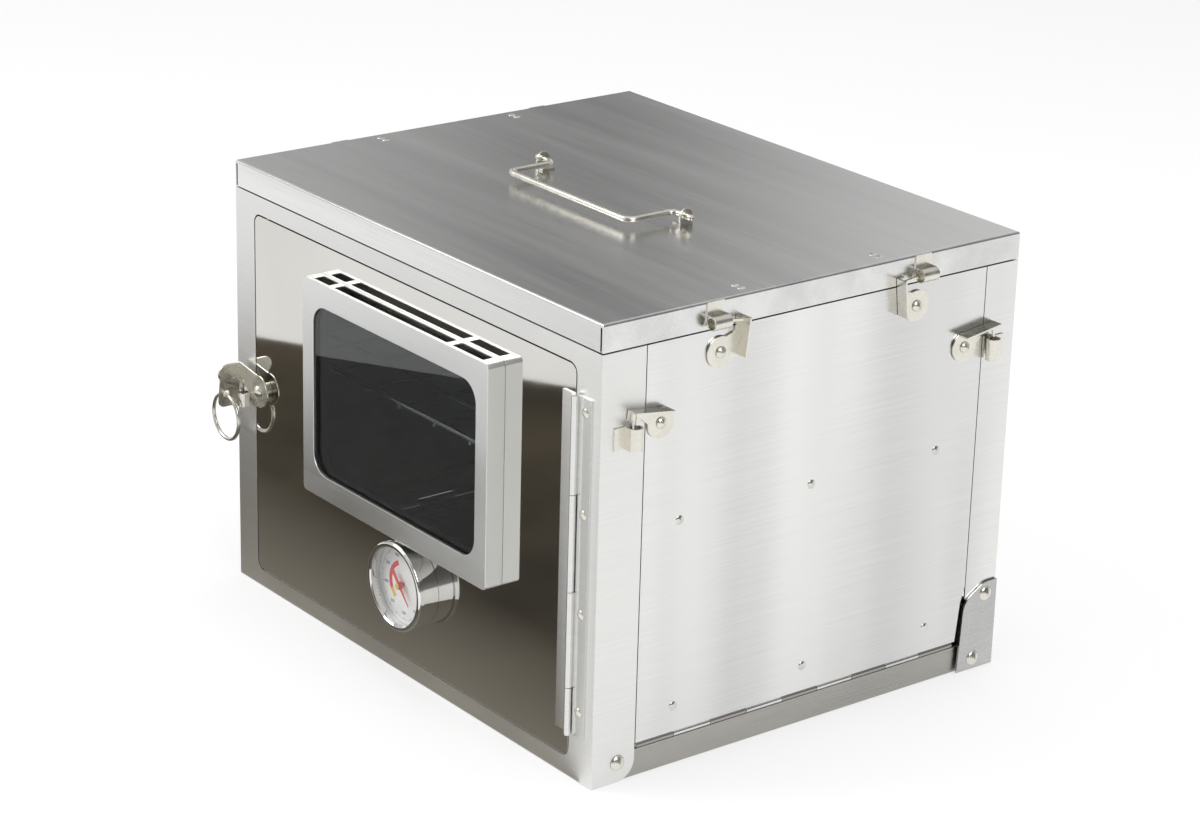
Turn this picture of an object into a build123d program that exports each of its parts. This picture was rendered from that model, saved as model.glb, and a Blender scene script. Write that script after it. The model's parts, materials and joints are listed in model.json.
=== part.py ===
from build123d import *
import os
from math import cos, radians, sin, sqrt

# Folding camp oven. Millimetres, +Z up, front towards -Y.
# Origin: centre of the underside of the base pan.

# ---- driving dimensions -------------------------------------------------
width = 340.0
depth = 280.0
height = 252.0
sheet = 1.0
clear = 0.3            # between pieces that move apart
fit = 0.05             # radial play of a pin in its hole

# lid
rim_height = 15.0
rim_bend = 1.6
rim_slit = 1.2
stiffener_width = 12.0
stiffener_inset = 3.0
stiffener_end = 6.0    # stiffener's end short of the front and rear returns
stiffener_lip = 1.0    # its foot short of the side wall's inner face
lid_rivet_y = (-47.0, 46.0)
lid_rivet_pair = 5.0
lid_rivet_head = 2.2
lid_rivet_rise = 0.7
small_rivet = 1.4

# walls
rim_gap = 0.8          # wall top to lid rim
return_width = 8.0
seam = 0.5
front_flange = 27.5
rear_flange = 22.5
front_pivot_in = 16.5
front_pivot_z = 11.0
rear_pivot_in = 8.4
rear_pivot_z = 44.0
rear_hem = 9.0         # rear wall below its pivot
pivot_shaft = 2.5
pivot_head = 4.4
pivot_head_rise = 2.6
pivot_tail = 3.6
tail_rise = 1.0

# rear brackets
bracket_sheet = 1.2
bracket_height = 51.0
bracket_top = 24.0
bracket_foot = 26.5
bracket_round = 9.0    # its sloping shoulder's drop and length
bracket_slope = 15.0
bracket_fillet = 12.0
bracket_margin = 1.8   # side wall's rear edge to the bracket's front edge
foot_rivet_in = 15.0
foot_rivet_z = 6.5

# base pan
pan_rim = 15.0
pan_front_gap = 3.0    # pan's front edge ahead of the front pivots
pan_rim_relief = 6.0   # front rim stops short of the pivot rivets
pan_sill_gap = 0.7     # sill's top to the swing of the rear wall's hem

# side hinges
side_hinge_in = 1.8
side_hinge_z = 17.0
side_barrel = 1.6
side_pin = 0.7
side_leaf = 8.5
side_knuckles = 9
side_hinge_gap = 1.5   # hinge's ends to the front flange and the rear bracket
side_pin_end = 0.4
side_pin_upset = 1.2
knuckle_gap = 0.3
knuckle_swing = 0.2    # more room round a knuckle, for the turning leaf
leaf_end = 1.0         # leaf's bare end beyond its last knuckle

# door and its opening
door_side = 20.0       # door's edges in from the oven's sides
door_bottom = 11.0
door_below_top = 11.2  # door's top edge below the walls' top
door_gap = 0.8
door_return = 8.0
door_corner = 5.0
door_hinge_past = 1.5
door_hinge_out = 2.3
door_barrel = 1.9
door_pin = 0.95
door_pin_end = 0.6
door_pin_upset = 1.5
door_leaf = 12.0
door_hinge_end = 14.3  # hinge's ends short of the door's
door_knuckles = 3.5    # three whole knuckles and a half one
leaf_inset = 0.5       # leaf's ends inside the outer knuckles
leaf_roll = 0.4        # frame leaf's edge to its barrel
leaf_tongue = 0.3      # a knuckle's tongue starts beside the pin's axis
leaf_rivet_in = 8.0    # first rivet below the hinge's top
leaf_rivet_low = 14.3
leaf_rivet_out = 7.0   # rivets' line beside the pin
rivets_in_leaf = 4
leaf_rivet_head = 2.6
leaf_rivet_rise = 1.1
leaf_rivet_tail = 2.4
rivet_y_tail = 0.8

# window
window_x = 3.0
sight_width = 153.0
sight_height = 98.0
sight_corner = 12.0
bezel_side = 10.5      # frame beside the sight
bezel_end = 13.5       # frame above and below the sight
bezel_below_top = 15.5
bezel_corner = 3.0
window_depth = 11.0
glass_thick = 4.0
glass_lap = 4.0
gasket_width = 5.0
vent_split = (0.147, 0.784)  # bars between the vents, as shares of the frame's width
vent_bar = 5.0
vent_end = 8.0
vent_front = 2.5
vent_back = 2.0

# thermometer
gauge_x = 8.5
gauge_gap = 1.1        # below the window frame
gauge_radius = 24.2
gauge_wall = 1.2
gauge_floor = 5.0      # case's floor
gauge_roll = 1.0       # bezel beyond the case
gauge_depth = 13.5
bezel_deep = 3.5
bezel_lip = 1.0
bezel_round = 0.9
lens_thick = 1.0
case_back = 2.0        # case's edge behind the bezel's face
dial_inset = 2.2
dial_face = 7.5        # dial's face behind the bezel's face
dial_gap = 0.1
needle_back = 5.0      # needle's rear face behind the bezel's face
needle_thick = 0.4
needle_length = 13.0
needle_tail = 9.5
needle_broad = 1.3
needle_waist = 1.0
needle_tip = 0.2
needle_hub = 2.2
hub_front = 4.2
hub_back = 6.0
needle_angle = -48.0
spindle = 0.6
spindle_head = 1.3
spindle_front = 3.4
boss_radius = 1.2
stem_radius = 3.2
stem_inside = 28.0
nut_radius = 6.5
nut_thick = 4.0

# rolled keepers, shared by the clips and the latch
roll_outer = 3.8
roll_inner = 2.9
roll_mouth = 1.6
roll_lip = 0.9
clip_out = 4.2         # roll's axis from the wall
neck_back = 0.4        # neck's start from the wall
neck_lap = 0.1
strap_sheet = 0.8
finger = 1.3
finger_in = 1.6

# door latch
latch_in = 8.0         # latch rivet inside the door's edge
latch_below_top = 102.4  # latch rivet below the door's top
latch_stand = 3.2      # hook's plate stands off the door on the rivet's shoulder
latch_shoulder = 4.5
latch_head = 3.6
latch_head_rise = 2.4
latch_tail = 2.8
latch_disc = 9.5
latch_reach = 22.0
latch_tab_out = 13.0
latch_tab_height = 27.0
latch_tab_round = 4.0
latch_lobe = 5.5       # round lobe on the tab's upper front corner
latch_lobe_out = 1.5
latch_arm_top = 9.0
latch_arm_low = -2.6
latch_keeper_out = 15.5  # keeper's axis beyond the latch rivet
latch_keeper_drop = 5.0
latch_keeper_height = 8.0
latch_strap = 5.2      # strap beyond the roll
latch_off = 8.0        # degrees above its latched place
ring_outer = 14.5
ring_wire = 1.1
ring_hole_play = 0.9
ring_hole_drop = 9.6
ring_hole_in = 4.6     # hole's centre from the tab's front edge

# clips
clip_sheet = 1.0
clip_disc = 8.4
clip_head = 3.2
clip_head_rise = 2.2
clip_tail = 2.6
clip_shaft = 1.5
clip_tab_out = 7.5     # tabs stand out from the wall
lid_clip_off = 6.6     # degrees short of latched
corner_clip_off = 8.0
lid_clip_y = 66.3
lid_clip_drop = 12.2   # below the walls' top
lid_keeper_y = 70.0
lid_keeper_width = 11.0
lid_keeper_rise = 0.6  # roll above the rim's lower edge
lid_strap_end = 0.3
lid_tab_y = 11.4
lid_tab_low = -2.0
lid_tab_top = 0.8
lid_arm_low = -7.5
lid_arm_neck = 3.5
lid_arm_top = 10.5
corner_clip_in = 9.4   # clip's rivet behind the front flange's edge
corner_clip_drop = 42.2
corner_keeper_out = 18.4  # keeper's axis beyond the clip's rivet
corner_keeper_height = 12.0
corner_keeper_drop = 3.8
corner_strap_in = 8.0
corner_tab_rise = 8.0
corner_tab_past = 3.5
corner_tab_back = 3.0
corner_arm_low = -6.0
corner_arm_gap = 1.5

# rack and rails
rack_below_top = 91.2
rack_wire = 1.6
cross_wire = 1.4
rack_side_gap = 1.4
rack_front_in = 21.0
rack_rear_in = 28.0
rack_pitch_x = 33.4
rack_pitch_y = 28.9
rack_overhang = 0.8
rack_bend = 8.0
rail_reach = 12.0
rail_leg = 13.0
rail_end = 8.5         # rails' ends behind the front flange
low_rail_rise = 22.25  # lower rail above the side hinges
rail_rivet_in = 16.0
rail_rivet_low = 5.5   # rivets below the rail's top
rail_rivet_head = 2.6
rail_rivet_rise = 1.0
rail_rivet_tail = 2.4

# handle
handle_x = 54.0
handle_pivot_y = -4.0
handle_grip_y = -35.0
handle_rise = 5.0
handle_wire = 1.8
handle_bend = 5.0
eye_beside = 10.0      # eye beside the bail's arm
eye_sheet = 1.5
eye_wall = 2.6
eye_foot = 5.0
eye_foot_sheet = 1.2
handle_past = 6.0      # bail's end beyond its eye

# ---- values that follow ---------------------------------------------------
half_w = width / 2
half_d = depth / 2
rim_z = height - rim_height
wall_top = rim_z - rim_gap
inner_x = half_w - sheet
pan_x = inner_x - clear
front_pivot_y = -half_d + front_pivot_in
rear_pivot_y = half_d - rear_pivot_in
foot_rivet_y = half_d - foot_rivet_in
front_flange_end = -half_d + front_flange
rear_flange_end = half_d - rear_flange
pan_front = front_pivot_y - pan_front_gap
side_foot = side_hinge_z + side_barrel + knuckle_gap + knuckle_swing
side_hinge_x = half_w - side_hinge_in
side_hinge_front = front_flange_end + side_hinge_gap
side_hinge_rear = half_d - bracket_foot - bracket_margin - side_hinge_gap
side_knuckle = (side_hinge_rear - side_hinge_front) / side_knuckles
bracket_x = half_w + clear
door_left = -half_w + door_side
door_right = half_w - door_side - door_gap
door_top = wall_top - door_below_top
door_hinge_x = door_right + door_gap + door_hinge_past
door_hinge_y = -half_d - door_hinge_out
door_hinge_top = door_top - door_hinge_end
door_hinge_bottom = door_bottom + door_hinge_end
door_knuckle = (door_hinge_top - door_hinge_bottom) / door_knuckles
leaf_rivet_x = door_hinge_x + leaf_rivet_out
leaf_rivet_top = door_hinge_top - leaf_rivet_in
leaf_rivet_pitch = (leaf_rivet_top - door_hinge_bottom - leaf_rivet_low) / (rivets_in_leaf - 1)
window_width = sight_width + 2 * bezel_side
window_height = sight_height + 2 * bezel_end
window_z = door_top - bezel_below_top - window_height / 2
glass_front = -half_d - window_depth + sheet
glass_back = glass_front + glass_thick
gauge_bezel = gauge_radius + gauge_roll
gauge_z = window_z - window_height / 2 - gauge_gap - gauge_bezel
gauge_front = -half_d - gauge_depth
dial_radius = gauge_radius - dial_inset
dial_back = -half_d - gauge_floor
latch_x = door_left + latch_in
latch_z = door_top - latch_below_top
latch_keeper_x = latch_x - latch_keeper_out
latch_plate_y = -half_d - latch_stand
ring_hole_y = latch_plate_y - latch_tab_out + ring_hole_in
lid_clip_z = wall_top - lid_clip_drop
lid_roll_z = rim_z + roll_outer + lid_keeper_rise
corner_clip_y = -front_flange_end - corner_clip_in
corner_clip_z = wall_top - corner_clip_drop
corner_keeper_y = corner_clip_y + corner_keeper_out
corner_keeper_z = corner_clip_z - corner_keeper_drop
rack_z = wall_top - rack_below_top
rack_front = -half_d + rack_front_in
rack_rear = half_d - rack_rear_in
rack_x = half_w - return_width - rack_side_gap - rack_wire
rail_top = rack_z - rack_wire - clear / 2
rail_tops = (rail_top, side_hinge_z + low_rail_rise)
rail_half = -front_flange_end - rail_end
rail_rivet_y = (-rail_half + rail_rivet_in, 0, rail_half - rail_rivet_in)
handle_z = height + handle_rise
eye_x = handle_x + eye_beside
handle_end = eye_x + handle_past
cut = 1.0              # a cutter runs this far past what it cuts
lap = 0.01             # solids of one piece meet by this much


def block(x, y, z):
    size = (x[1] - x[0], y[1] - y[0], z[1] - z[0])
    centre = ((x[0] + x[1]) / 2, (y[0] + y[1]) / 2, (z[0] + z[1]) / 2)
    return Pos(*centre) * Box(*size)


def rod_x(x, y, z, radius):
    return Pos((x[0] + x[1]) / 2, y, z) * Rot(0, 90, 0) * Cylinder(radius, x[1] - x[0])


def rod_y(x, y, z, radius):
    return Pos(x, (y[0] + y[1]) / 2, z) * Rot(90, 0, 0) * Cylinder(radius, y[1] - y[0])


def rod_z(x, y, z, radius):
    return Pos(x, y, (z[0] + z[1]) / 2) * Cylinder(radius, z[1] - z[0])


def around(centre, half):
    return (centre - half, centre + half)


def grow(span, more):
    return (span[0] - more, span[1] + more)


def outline_x(points, x):
    # A plate across X: points are (y, z).
    face = make_face(Polyline(*[(0, y, z) for y, z in points], close=True))
    return Pos(x[0], 0, 0) * extrude(face, amount=x[1] - x[0], dir=(1, 0, 0))


def panel_y(x, z, y, corner):
    # A round-cornered plate across Y.
    plate = RectangleRounded(x[1] - x[0], z[1] - z[0], corner)
    solid = extrude(plate, amount=y[1] - y[0])
    return Pos((x[0] + x[1]) / 2, y[1], (z[0] + z[1]) / 2) * Rot(90, 0, 0) * solid


def flip(shape, side):
    # The left-hand twin of a right-hand piece.
    return shape if side > 0 else mirror(shape, about=Plane.YZ)


def dome(radius, rise):
    # A rivet's head: base at the origin, crown towards +Z.
    ball = (radius * radius + rise * rise) / (2 * rise)
    cap = Pos(0, 0, rise - ball) * Sphere(ball)
    return cap & Pos(0, 0, rise) * Box(4 * radius, 4 * radius, 2 * rise)


def rivet_x(x, y, z, shaft, head, rise, tail):
    # Shank from x[0] to x[1], head outside, upset tail inside.
    body = rod_x(x, y, z, shaft)
    body += Pos(x[1], y, z) * Rot(0, 90, 0) * dome(head, rise)
    return body + rod_x((x[0] - tail_rise, x[0]), y, z, tail)


def rivet_y(x, y, z, shaft, head, rise, tail):
    # Shank from y[0] to y[1], head at the front, upset tail behind.
    body = rod_y(x, y, z, shaft)
    body += Pos(x, y[0], z) * Rot(90, 0, 0) * dome(head, rise)
    return body + rod_y(x, (y[1], y[1] + rivet_y_tail), z, tail)


def save(node, shape):
    shape.label = node
    export_step(shape, f"parts/{node}.step")


def group(*solids):
    return Compound(children=list(solids))


def pair(piece):
    return group(piece, flip(piece, -1))


# ---- base pan -------------------------------------------------------------
def base_pan():
    sill_top = rear_pivot_z - sqrt(rear_pivot_in ** 2 + rear_hem ** 2) - pan_sill_gap
    rim_end = pan_x - sheet - pan_rim_relief
    pan = block((-pan_x, pan_x), (pan_front, half_d), (0, sheet))
    for side in (-1, 1):
        edge = sorted((side * pan_x, side * (pan_x - sheet)))
        pan += block(edge, (pan_front, half_d), (0, pan_rim))
    pan += block((-rim_end, rim_end), (pan_front, pan_front + sheet), (0, pan_rim))
    pan += block((-pan_x, pan_x), (half_d - sheet, half_d), (0, sill_top))
    for y, z in ((front_pivot_y, front_pivot_z), (foot_rivet_y, foot_rivet_z)):
        pan -= rod_x((-half_w, half_w), y, z, pivot_shaft)
    return pan


# ---- side hinges ----------------------------------------------------------
def knuckle_spans():
    spans = []
    for index in range(side_knuckles):
        start = side_hinge_front + index * side_knuckle
        spans.append((start + knuckle_gap / 2, start + side_knuckle - knuckle_gap / 2))
    return spans


def side_hinge_leaf(moving):
    # Right-hand leaf: the fixed one backs the pan rim, the moving one backs the wall.
    if moving:
        x = (inner_x - sheet, inner_x)
        bare = (side_foot, side_hinge_z + side_leaf)
        tongue = (side_hinge_z, side_hinge_z + side_leaf)
    else:
        x = (pan_x - 2 * sheet, pan_x - sheet)
        bare = (side_hinge_z - side_leaf, pan_rim)
        tongue = (side_hinge_z - side_leaf, side_hinge_z)
    leaf = block(x, (side_hinge_front + leaf_end, side_hinge_rear - leaf_end), bare)
    for index, span in enumerate(knuckle_spans()):
        if (index % 2 == 1) == moving:
            leaf += block(x, span, tongue) + rod_y(side_hinge_x, span, side_hinge_z, side_barrel)
    bore = grow((side_hinge_front, side_hinge_rear), cut)
    return leaf - rod_y(side_hinge_x, bore, side_hinge_z, side_pin + fit)


def side_hinge_pin():
    ends = grow((side_hinge_front, side_hinge_rear), side_pin_end)
    pin = rod_y(side_hinge_x, ends, side_hinge_z, side_pin)
    for start in (ends[0], side_hinge_rear):
        pin += rod_y(side_hinge_x, (start, start + side_pin_end), side_hinge_z, side_pin_upset)
    return pin


# ---- side walls -------------------------------------------------------------
def side_wall():
    rear = rear_flange_end - seam
    front = front_flange_end + seam
    foot = half_d - bracket_foot - bracket_margin
    knee = half_d - bracket_top - bracket_margin
    shape = outline_x([(front, side_foot), (foot, side_foot), (knee, bracket_height - bracket_round),
                       (rear, bracket_height), (rear, wall_top), (front, wall_top)], (inner_x, half_w))
    shape += block((half_w - return_width, half_w), (front, rear), (wall_top - sheet, wall_top))
    bore = grow((inner_x, half_w), cut)
    for y, z in clip_places():
        shape -= rod_x(bore, y, z, clip_shaft)
    for top in rail_tops:
        for y in rail_rivet_y:
            shape -= rod_x(bore, y, top - rail_rivet_low, small_rivet)
    return shape


def clip_places():
    places = [(side * lid_clip_y, lid_clip_z) for side in (-1, 1)]
    return places + [(side * corner_clip_y, corner_clip_z) for side in (-1, 1)]


def rail(top):
    leg = block((inner_x - sheet, inner_x), (-rail_half, rail_half), (top - rail_leg, top))
    shelf = block((inner_x - rail_reach, inner_x), (-rail_half, rail_half), (top - sheet, top))
    shape = leg + shelf
    for y in rail_rivet_y:
        shape -= rod_x(grow((inner_x - sheet, inner_x), cut), y, top - rail_rivet_low, small_rivet)
    return shape


def rail_rivets():
    places = [(y, top - rail_rivet_low) for top in rail_tops for y in rail_rivet_y]
    return [rivet_x((inner_x - sheet, half_w), y, z, small_rivet, rail_rivet_head, rail_rivet_rise,
                    rail_rivet_tail) for y, z in places]


def clip_rivets():
    seat = half_w + clear + clip_sheet + clear / 2
    return [rivet_x((inner_x, seat), y, z, clip_shaft, clip_head, clip_head_rise, clip_tail)
            for y, z in clip_places()]


# ---- clips ------------------------------------------------------------------
# A clip is drawn latched, with its rivet at the origin, then eased back by its own angle.
plate_x = (half_w + clear, half_w + clear + clip_sheet)
tab_x = (half_w + clear, half_w + clip_tab_out)
finger_x = (half_w + clip_out - finger / 2, half_w + clip_out + finger / 2)


def place_clip(clip, eased, side, y, z):
    clip -= rod_x(grow(plate_x, cut), 0, 0, clip_shaft + fit)
    clip = Rot(-eased, 0, 0) * clip
    if side > 0:
        clip = mirror(clip, about=Plane.XZ)
    return Pos(0, side * y, z) * clip


def lid_clip(side):
    # Front of the right wall: the arm goes rearwards, then up to a finger that points forwards.
    reach = lid_keeper_y - lid_keeper_width / 2 - lid_clip_y + finger_in
    rise = lid_roll_z - lid_clip_z
    top = rise + finger / 2 + lid_tab_top
    column = lid_tab_y - lid_arm_neck
    arm = [(0, lid_arm_low), (lid_tab_y, lid_tab_low), (lid_tab_y, top), (column, top),
           (column, lid_arm_top), (0, lid_arm_top - lid_arm_neck)]
    clip = outline_x(arm, plate_x) + rod_x(plate_x, 0, 0, clip_disc)
    clip += block(tab_x, (lid_tab_y - lap, lid_tab_y + clip_sheet), (lid_tab_low, top))
    clip += block(finger_x, (-reach, lid_tab_y), around(rise, finger / 2))
    return place_clip(clip, lid_clip_off, side, lid_clip_y, lid_clip_z)


def corner_clip(side):
    # Front corner of the right wall: the arm goes forwards to a finger that points down.
    end = -corner_keeper_out - corner_tab_past
    roll_top = corner_keeper_height / 2 - corner_keeper_drop
    low = roll_top + clear
    inner = -corner_keeper_out + roll_outer + corner_arm_gap
    arm = [(0, corner_arm_low), (inner, low), (end, low), (end, corner_tab_rise),
           (corner_tab_back, corner_tab_rise), (corner_tab_back, 0)]
    clip = outline_x(arm, plate_x) + rod_x(plate_x, 0, 0, clip_disc)
    clip += block(tab_x, (end, corner_tab_back), (corner_tab_rise - clip_sheet, corner_tab_rise))
    clip += block(finger_x, around(-corner_keeper_out, finger / 2),
                  (roll_top - finger_in, corner_tab_rise - lap))
    return place_clip(clip, corner_clip_off, side, corner_clip_y, corner_clip_z)


def roll(length):
    # An open curl about Z, its mouth towards -X.
    ring = Cylinder(roll_outer, length) - Cylinder(roll_inner, length + 2 * cut)
    return ring - Pos(-roll_outer, roll_lip, 0) * Box(2 * roll_outer, roll_mouth, length + 2 * cut)


def corner_keeper(side):
    # Right-hand keeper: a strap on the flange that ends in an upright curl.
    span = around(corner_keeper_z, corner_keeper_height / 2)
    strap = block((half_w, half_w + strap_sheet), (-half_d + corner_strap_in, -corner_keeper_y), span)
    curl = Pos(half_w + clip_out, -corner_keeper_y, corner_keeper_z) * roll(corner_keeper_height)
    neck = block((half_w + neck_back, half_w + clip_out),
                 (-corner_keeper_y - roll_outer, -corner_keeper_y - roll_inner - neck_lap), span)
    shape = strap + neck + curl
    return shape if side < 0 else mirror(shape, about=Plane.XZ)


def lid_keeper(side):
    # Right-hand keeper: a strap down the rim that ends in a level curl.
    curl = Rot(90, 0, 0) * roll(lid_keeper_width)
    span = around(0, lid_keeper_width / 2)
    strap = block((-clip_out, strap_sheet - clip_out), span, (0, height - lid_strap_end - lid_roll_z))
    neck = block((neck_back - clip_out, 0), span, (roll_inner + neck_lap, roll_outer))
    return Pos(half_w + clip_out, side * lid_keeper_y, lid_roll_z) * (strap + neck + curl)


# ---- front wall -------------------------------------------------------------
def ear(x, y_front, y_edge):
    # Flange whose lower rear corner is rounded about the pivot.
    plate = block(x, (y_front, y_edge), (front_pivot_z, wall_top))
    plate += block(x, (y_front, front_pivot_y), (0, front_pivot_z + lap))
    return plate + rod_x(x, front_pivot_y, front_pivot_z, front_pivot_z)


def front_wall():
    shape = block((-half_w, half_w), (-half_d, -half_d + sheet), (0, wall_top))
    for side in (-1, 1):
        x = tuple(sorted((side * inner_x, side * half_w)))
        shape += ear(x, -half_d, front_flange_end)
        shape -= rod_x(x, front_pivot_y, front_pivot_z, pivot_shaft + fit)
    shape += block((-inner_x, inner_x), (-half_d, -half_d + return_width), (wall_top - sheet, wall_top))
    through = grow((-half_d, -half_d + sheet), cut)
    shape -= panel_y(grow((door_left, door_right), door_gap), grow((door_bottom, door_top), door_gap),
                     through, door_corner + door_gap)
    for z in leaf_rivet_heights():
        shape -= rod_y(leaf_rivet_x, through, z, small_rivet)
    return shape


def leaf_rivet_heights():
    return [leaf_rivet_top - index * leaf_rivet_pitch for index in range(rivets_in_leaf)]


def leaf_rivets():
    y = (-half_d - sheet, -half_d + sheet)
    return [rivet_y(leaf_rivet_x, y, z, small_rivet, leaf_rivet_head, leaf_rivet_rise, leaf_rivet_tail)
            for z in leaf_rivet_heights()]


def front_pivot_rivet():
    return rivet_x((pan_x - sheet, half_w + clear / 2), front_pivot_y, front_pivot_z, pivot_shaft,
                   pivot_head, pivot_head_rise, pivot_tail)


# ---- rear wall and brackets -----------------------------------------------
def rear_wall():
    low = rear_pivot_z - rear_hem
    shape = block((-half_w, half_w), (half_d - sheet, half_d), (low, wall_top))
    for side in (-1, 1):
        x = tuple(sorted((side * inner_x, side * half_w)))
        edge = [(half_d, low), (half_d, wall_top), (rear_flange_end, wall_top),
                (rear_flange_end, rear_pivot_z), (rear_pivot_y - rear_hem + sheet, low)]
        shape += outline_x(edge, x)
        shape -= rod_x(x, rear_pivot_y, rear_pivot_z, pivot_shaft + fit)
    shape += block((-inner_x, inner_x), (half_d - return_width, half_d), (wall_top - sheet, wall_top))
    return shape


def rear_bracket():
    knee = half_d - bracket_top
    edge = [(half_d, 0), (half_d, bracket_height), (knee + bracket_slope, bracket_height),
            (knee, bracket_height - bracket_round), (half_d - bracket_foot, 0)]
    x = (bracket_x, bracket_x + bracket_sheet)
    plate = outline_x(edge, x)
    corners = [corner for corner in plate.edges().filter_by(Axis.X)
               if corner.center().Z > bracket_height / 2 and corner.center().Y < half_d - sheet]
    plate = fillet(corners, bracket_fillet)
    for y, z in ((rear_pivot_y, rear_pivot_z), (foot_rivet_y, foot_rivet_z)):
        plate -= rod_x(grow(x, cut), y, z, pivot_shaft)
    return plate


def rear_pivot_rivet():
    return rivet_x((inner_x - clear, bracket_x + bracket_sheet), rear_pivot_y, rear_pivot_z, pivot_shaft,
                   pivot_head, pivot_head_rise, pivot_tail)


def rear_foot_rivet():
    # Its collar fills the gap between the pan's rim and the bracket.
    rivet = rivet_x((pan_x - sheet, bracket_x + bracket_sheet), foot_rivet_y, foot_rivet_z, pivot_shaft,
                    pivot_head, pivot_head_rise, pivot_tail)
    return rivet + rod_x((pan_x, bracket_x), foot_rivet_y, foot_rivet_z, pivot_head)


# ---- door ---------------------------------------------------------------------
def door_panel():
    x = (door_left, door_right)
    z = (door_bottom, door_top)
    door = panel_y(x, z, (-half_d, -half_d + door_return), door_corner)
    door -= panel_y(grow(x, -sheet), grow(z, -sheet), (-half_d + sheet, -half_d + door_return + cut),
                    door_corner - sheet)
    through = grow((-half_d, -half_d + sheet), cut)
    door -= around_sight(0, through)
    door -= rod_y(gauge_x, through, gauge_z, stem_radius)
    return door - rod_y(latch_x, through, latch_z, clip_shaft)


def around_sight(more, y):
    return panel_y(around(window_x, sight_width / 2 + more), around(window_z, sight_height / 2 + more), y,
                   sight_corner + more)


def window_bezel():
    x = around(window_x, window_width / 2)
    z = around(window_z, window_height / 2)
    front = -half_d - window_depth
    shell = panel_y(x, z, (front, -half_d), bezel_corner)
    shell -= panel_y(grow(x, -sheet), grow(z, -sheet), (front + sheet, -half_d + cut), bezel_corner - sheet)
    shell -= around_sight(0, (front - cut, -half_d))
    bars = [around(x[0] + share * window_width, vent_bar / 2) for share in vent_split]
    starts = [x[0] + vent_end] + [bar[1] for bar in bars]
    ends = [bar[0] for bar in bars] + [x[1] - vent_end]
    for start, end in zip(starts, ends):
        shell -= block((start, end), (front + vent_front, -half_d - vent_back),
                       grow((z[1] - sheet, z[1]), cut))
    return shell


def window_ring(lap_out, y):
    return around_sight(lap_out, y) - around_sight(0, grow(y, cut))


def window_glass():
    x = around(window_x, sight_width / 2 + glass_lap)
    z = around(window_z, sight_height / 2 + glass_lap)
    return panel_y(x, z, (glass_front, glass_back), sight_corner)


def hinge_spans():
    whole = int(door_knuckles)
    ends = [door_hinge_top - index * door_knuckle for index in range(whole + 1)] + [door_hinge_bottom]
    return [grow((low, high), -knuckle_gap / 2) for low, high in zip(ends[1:], ends[:-1])]


def door_hinge(moving):
    # Knuckles alternate from the top: frame, door, frame, door.
    y = (-half_d - sheet, -half_d)
    side = -1 if moving else 1
    near = door_right if moving else door_hinge_x + door_barrel + leaf_roll
    far = door_hinge_x + side * door_leaf
    leaf = block(sorted((near, far)), y, grow((door_hinge_bottom, door_hinge_top), -leaf_inset))
    for index, span in enumerate(hinge_spans()):
        if (index % 2 == 1) == moving:
            leaf += block(sorted((door_hinge_x + side * leaf_tongue, far)), y, span)
            leaf += rod_z(door_hinge_x, door_hinge_y, span, door_barrel)
    leaf -= rod_z(door_hinge_x, door_hinge_y, (0, height), door_pin + fit)
    if not moving:
        for z in leaf_rivet_heights():
            leaf -= rod_y(leaf_rivet_x, grow(y, cut), z, small_rivet)
    return leaf


def door_hinge_pin():
    ends = grow((door_hinge_bottom, door_hinge_top), door_pin_end)
    pin = rod_z(door_hinge_x, door_hinge_y, ends, door_pin)
    for start in (ends[0], door_hinge_top):
        pin += rod_z(door_hinge_x, door_hinge_y, (start, start + door_pin_end), door_pin_upset)
    return pin


# ---- thermometer ------------------------------------------------------------
def gauge_case():
    case = rod_y(gauge_x, (gauge_front + case_back, -half_d), gauge_z, gauge_radius)
    case -= rod_y(gauge_x, (gauge_front, dial_back), gauge_z, gauge_radius - gauge_wall)
    return case - rod_y(gauge_x, (gauge_front, -half_d + cut), gauge_z, stem_radius)


def gauge_bezel_ring():
    seat = gauge_front + bezel_lip
    ring = rod_y(gauge_x, (gauge_front, gauge_front + bezel_deep), gauge_z, gauge_bezel)
    ring -= rod_y(gauge_x, (gauge_front - cut, seat + lens_thick), gauge_z, dial_radius)
    ring -= rod_y(gauge_x, (seat, gauge_front + bezel_deep + cut), gauge_z, gauge_radius)
    front_edges = ring.edges().filter_by(GeomType.CIRCLE).sort_by(Axis.Y)[0:2]
    return fillet(front_edges.sort_by(SortBy.RADIUS)[-1], bezel_round)


def gauge_lens():
    seat = gauge_front + bezel_lip
    return rod_y(gauge_x, (seat, seat + lens_thick), gauge_z, gauge_radius - dial_gap)


def gauge_dial():
    rim = gauge_radius - gauge_wall - dial_gap
    dial = rod_y(gauge_x, (gauge_front + dial_face, dial_back), gauge_z, rim)
    return dial - rod_y(gauge_x, (gauge_front, -half_d), gauge_z, boss_radius)


def gauge_needle():
    # Drawn level, broad tail to the left, then turned to its cold place.
    back = gauge_front + needle_back
    upper = [(-needle_tail, needle_broad), (0, needle_waist), (needle_length, needle_tip)]
    lower = [(x, -y) for x, y in reversed(upper)]
    plan = Polyline(*upper, *lower, close=True)
    blade = extrude(make_face(plan), amount=needle_thick)
    blade = Pos(0, back, 0) * Rot(90, 0, 0) * blade
    hub = rod_y(0, (gauge_front + hub_front, gauge_front + hub_back), 0, needle_hub)
    turned = Rot(0, -needle_angle, 0) * (blade + hub)
    return Pos(gauge_x, 0, gauge_z) * (turned - rod_y(0, (gauge_front, -half_d), 0, spindle + fit))


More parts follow.
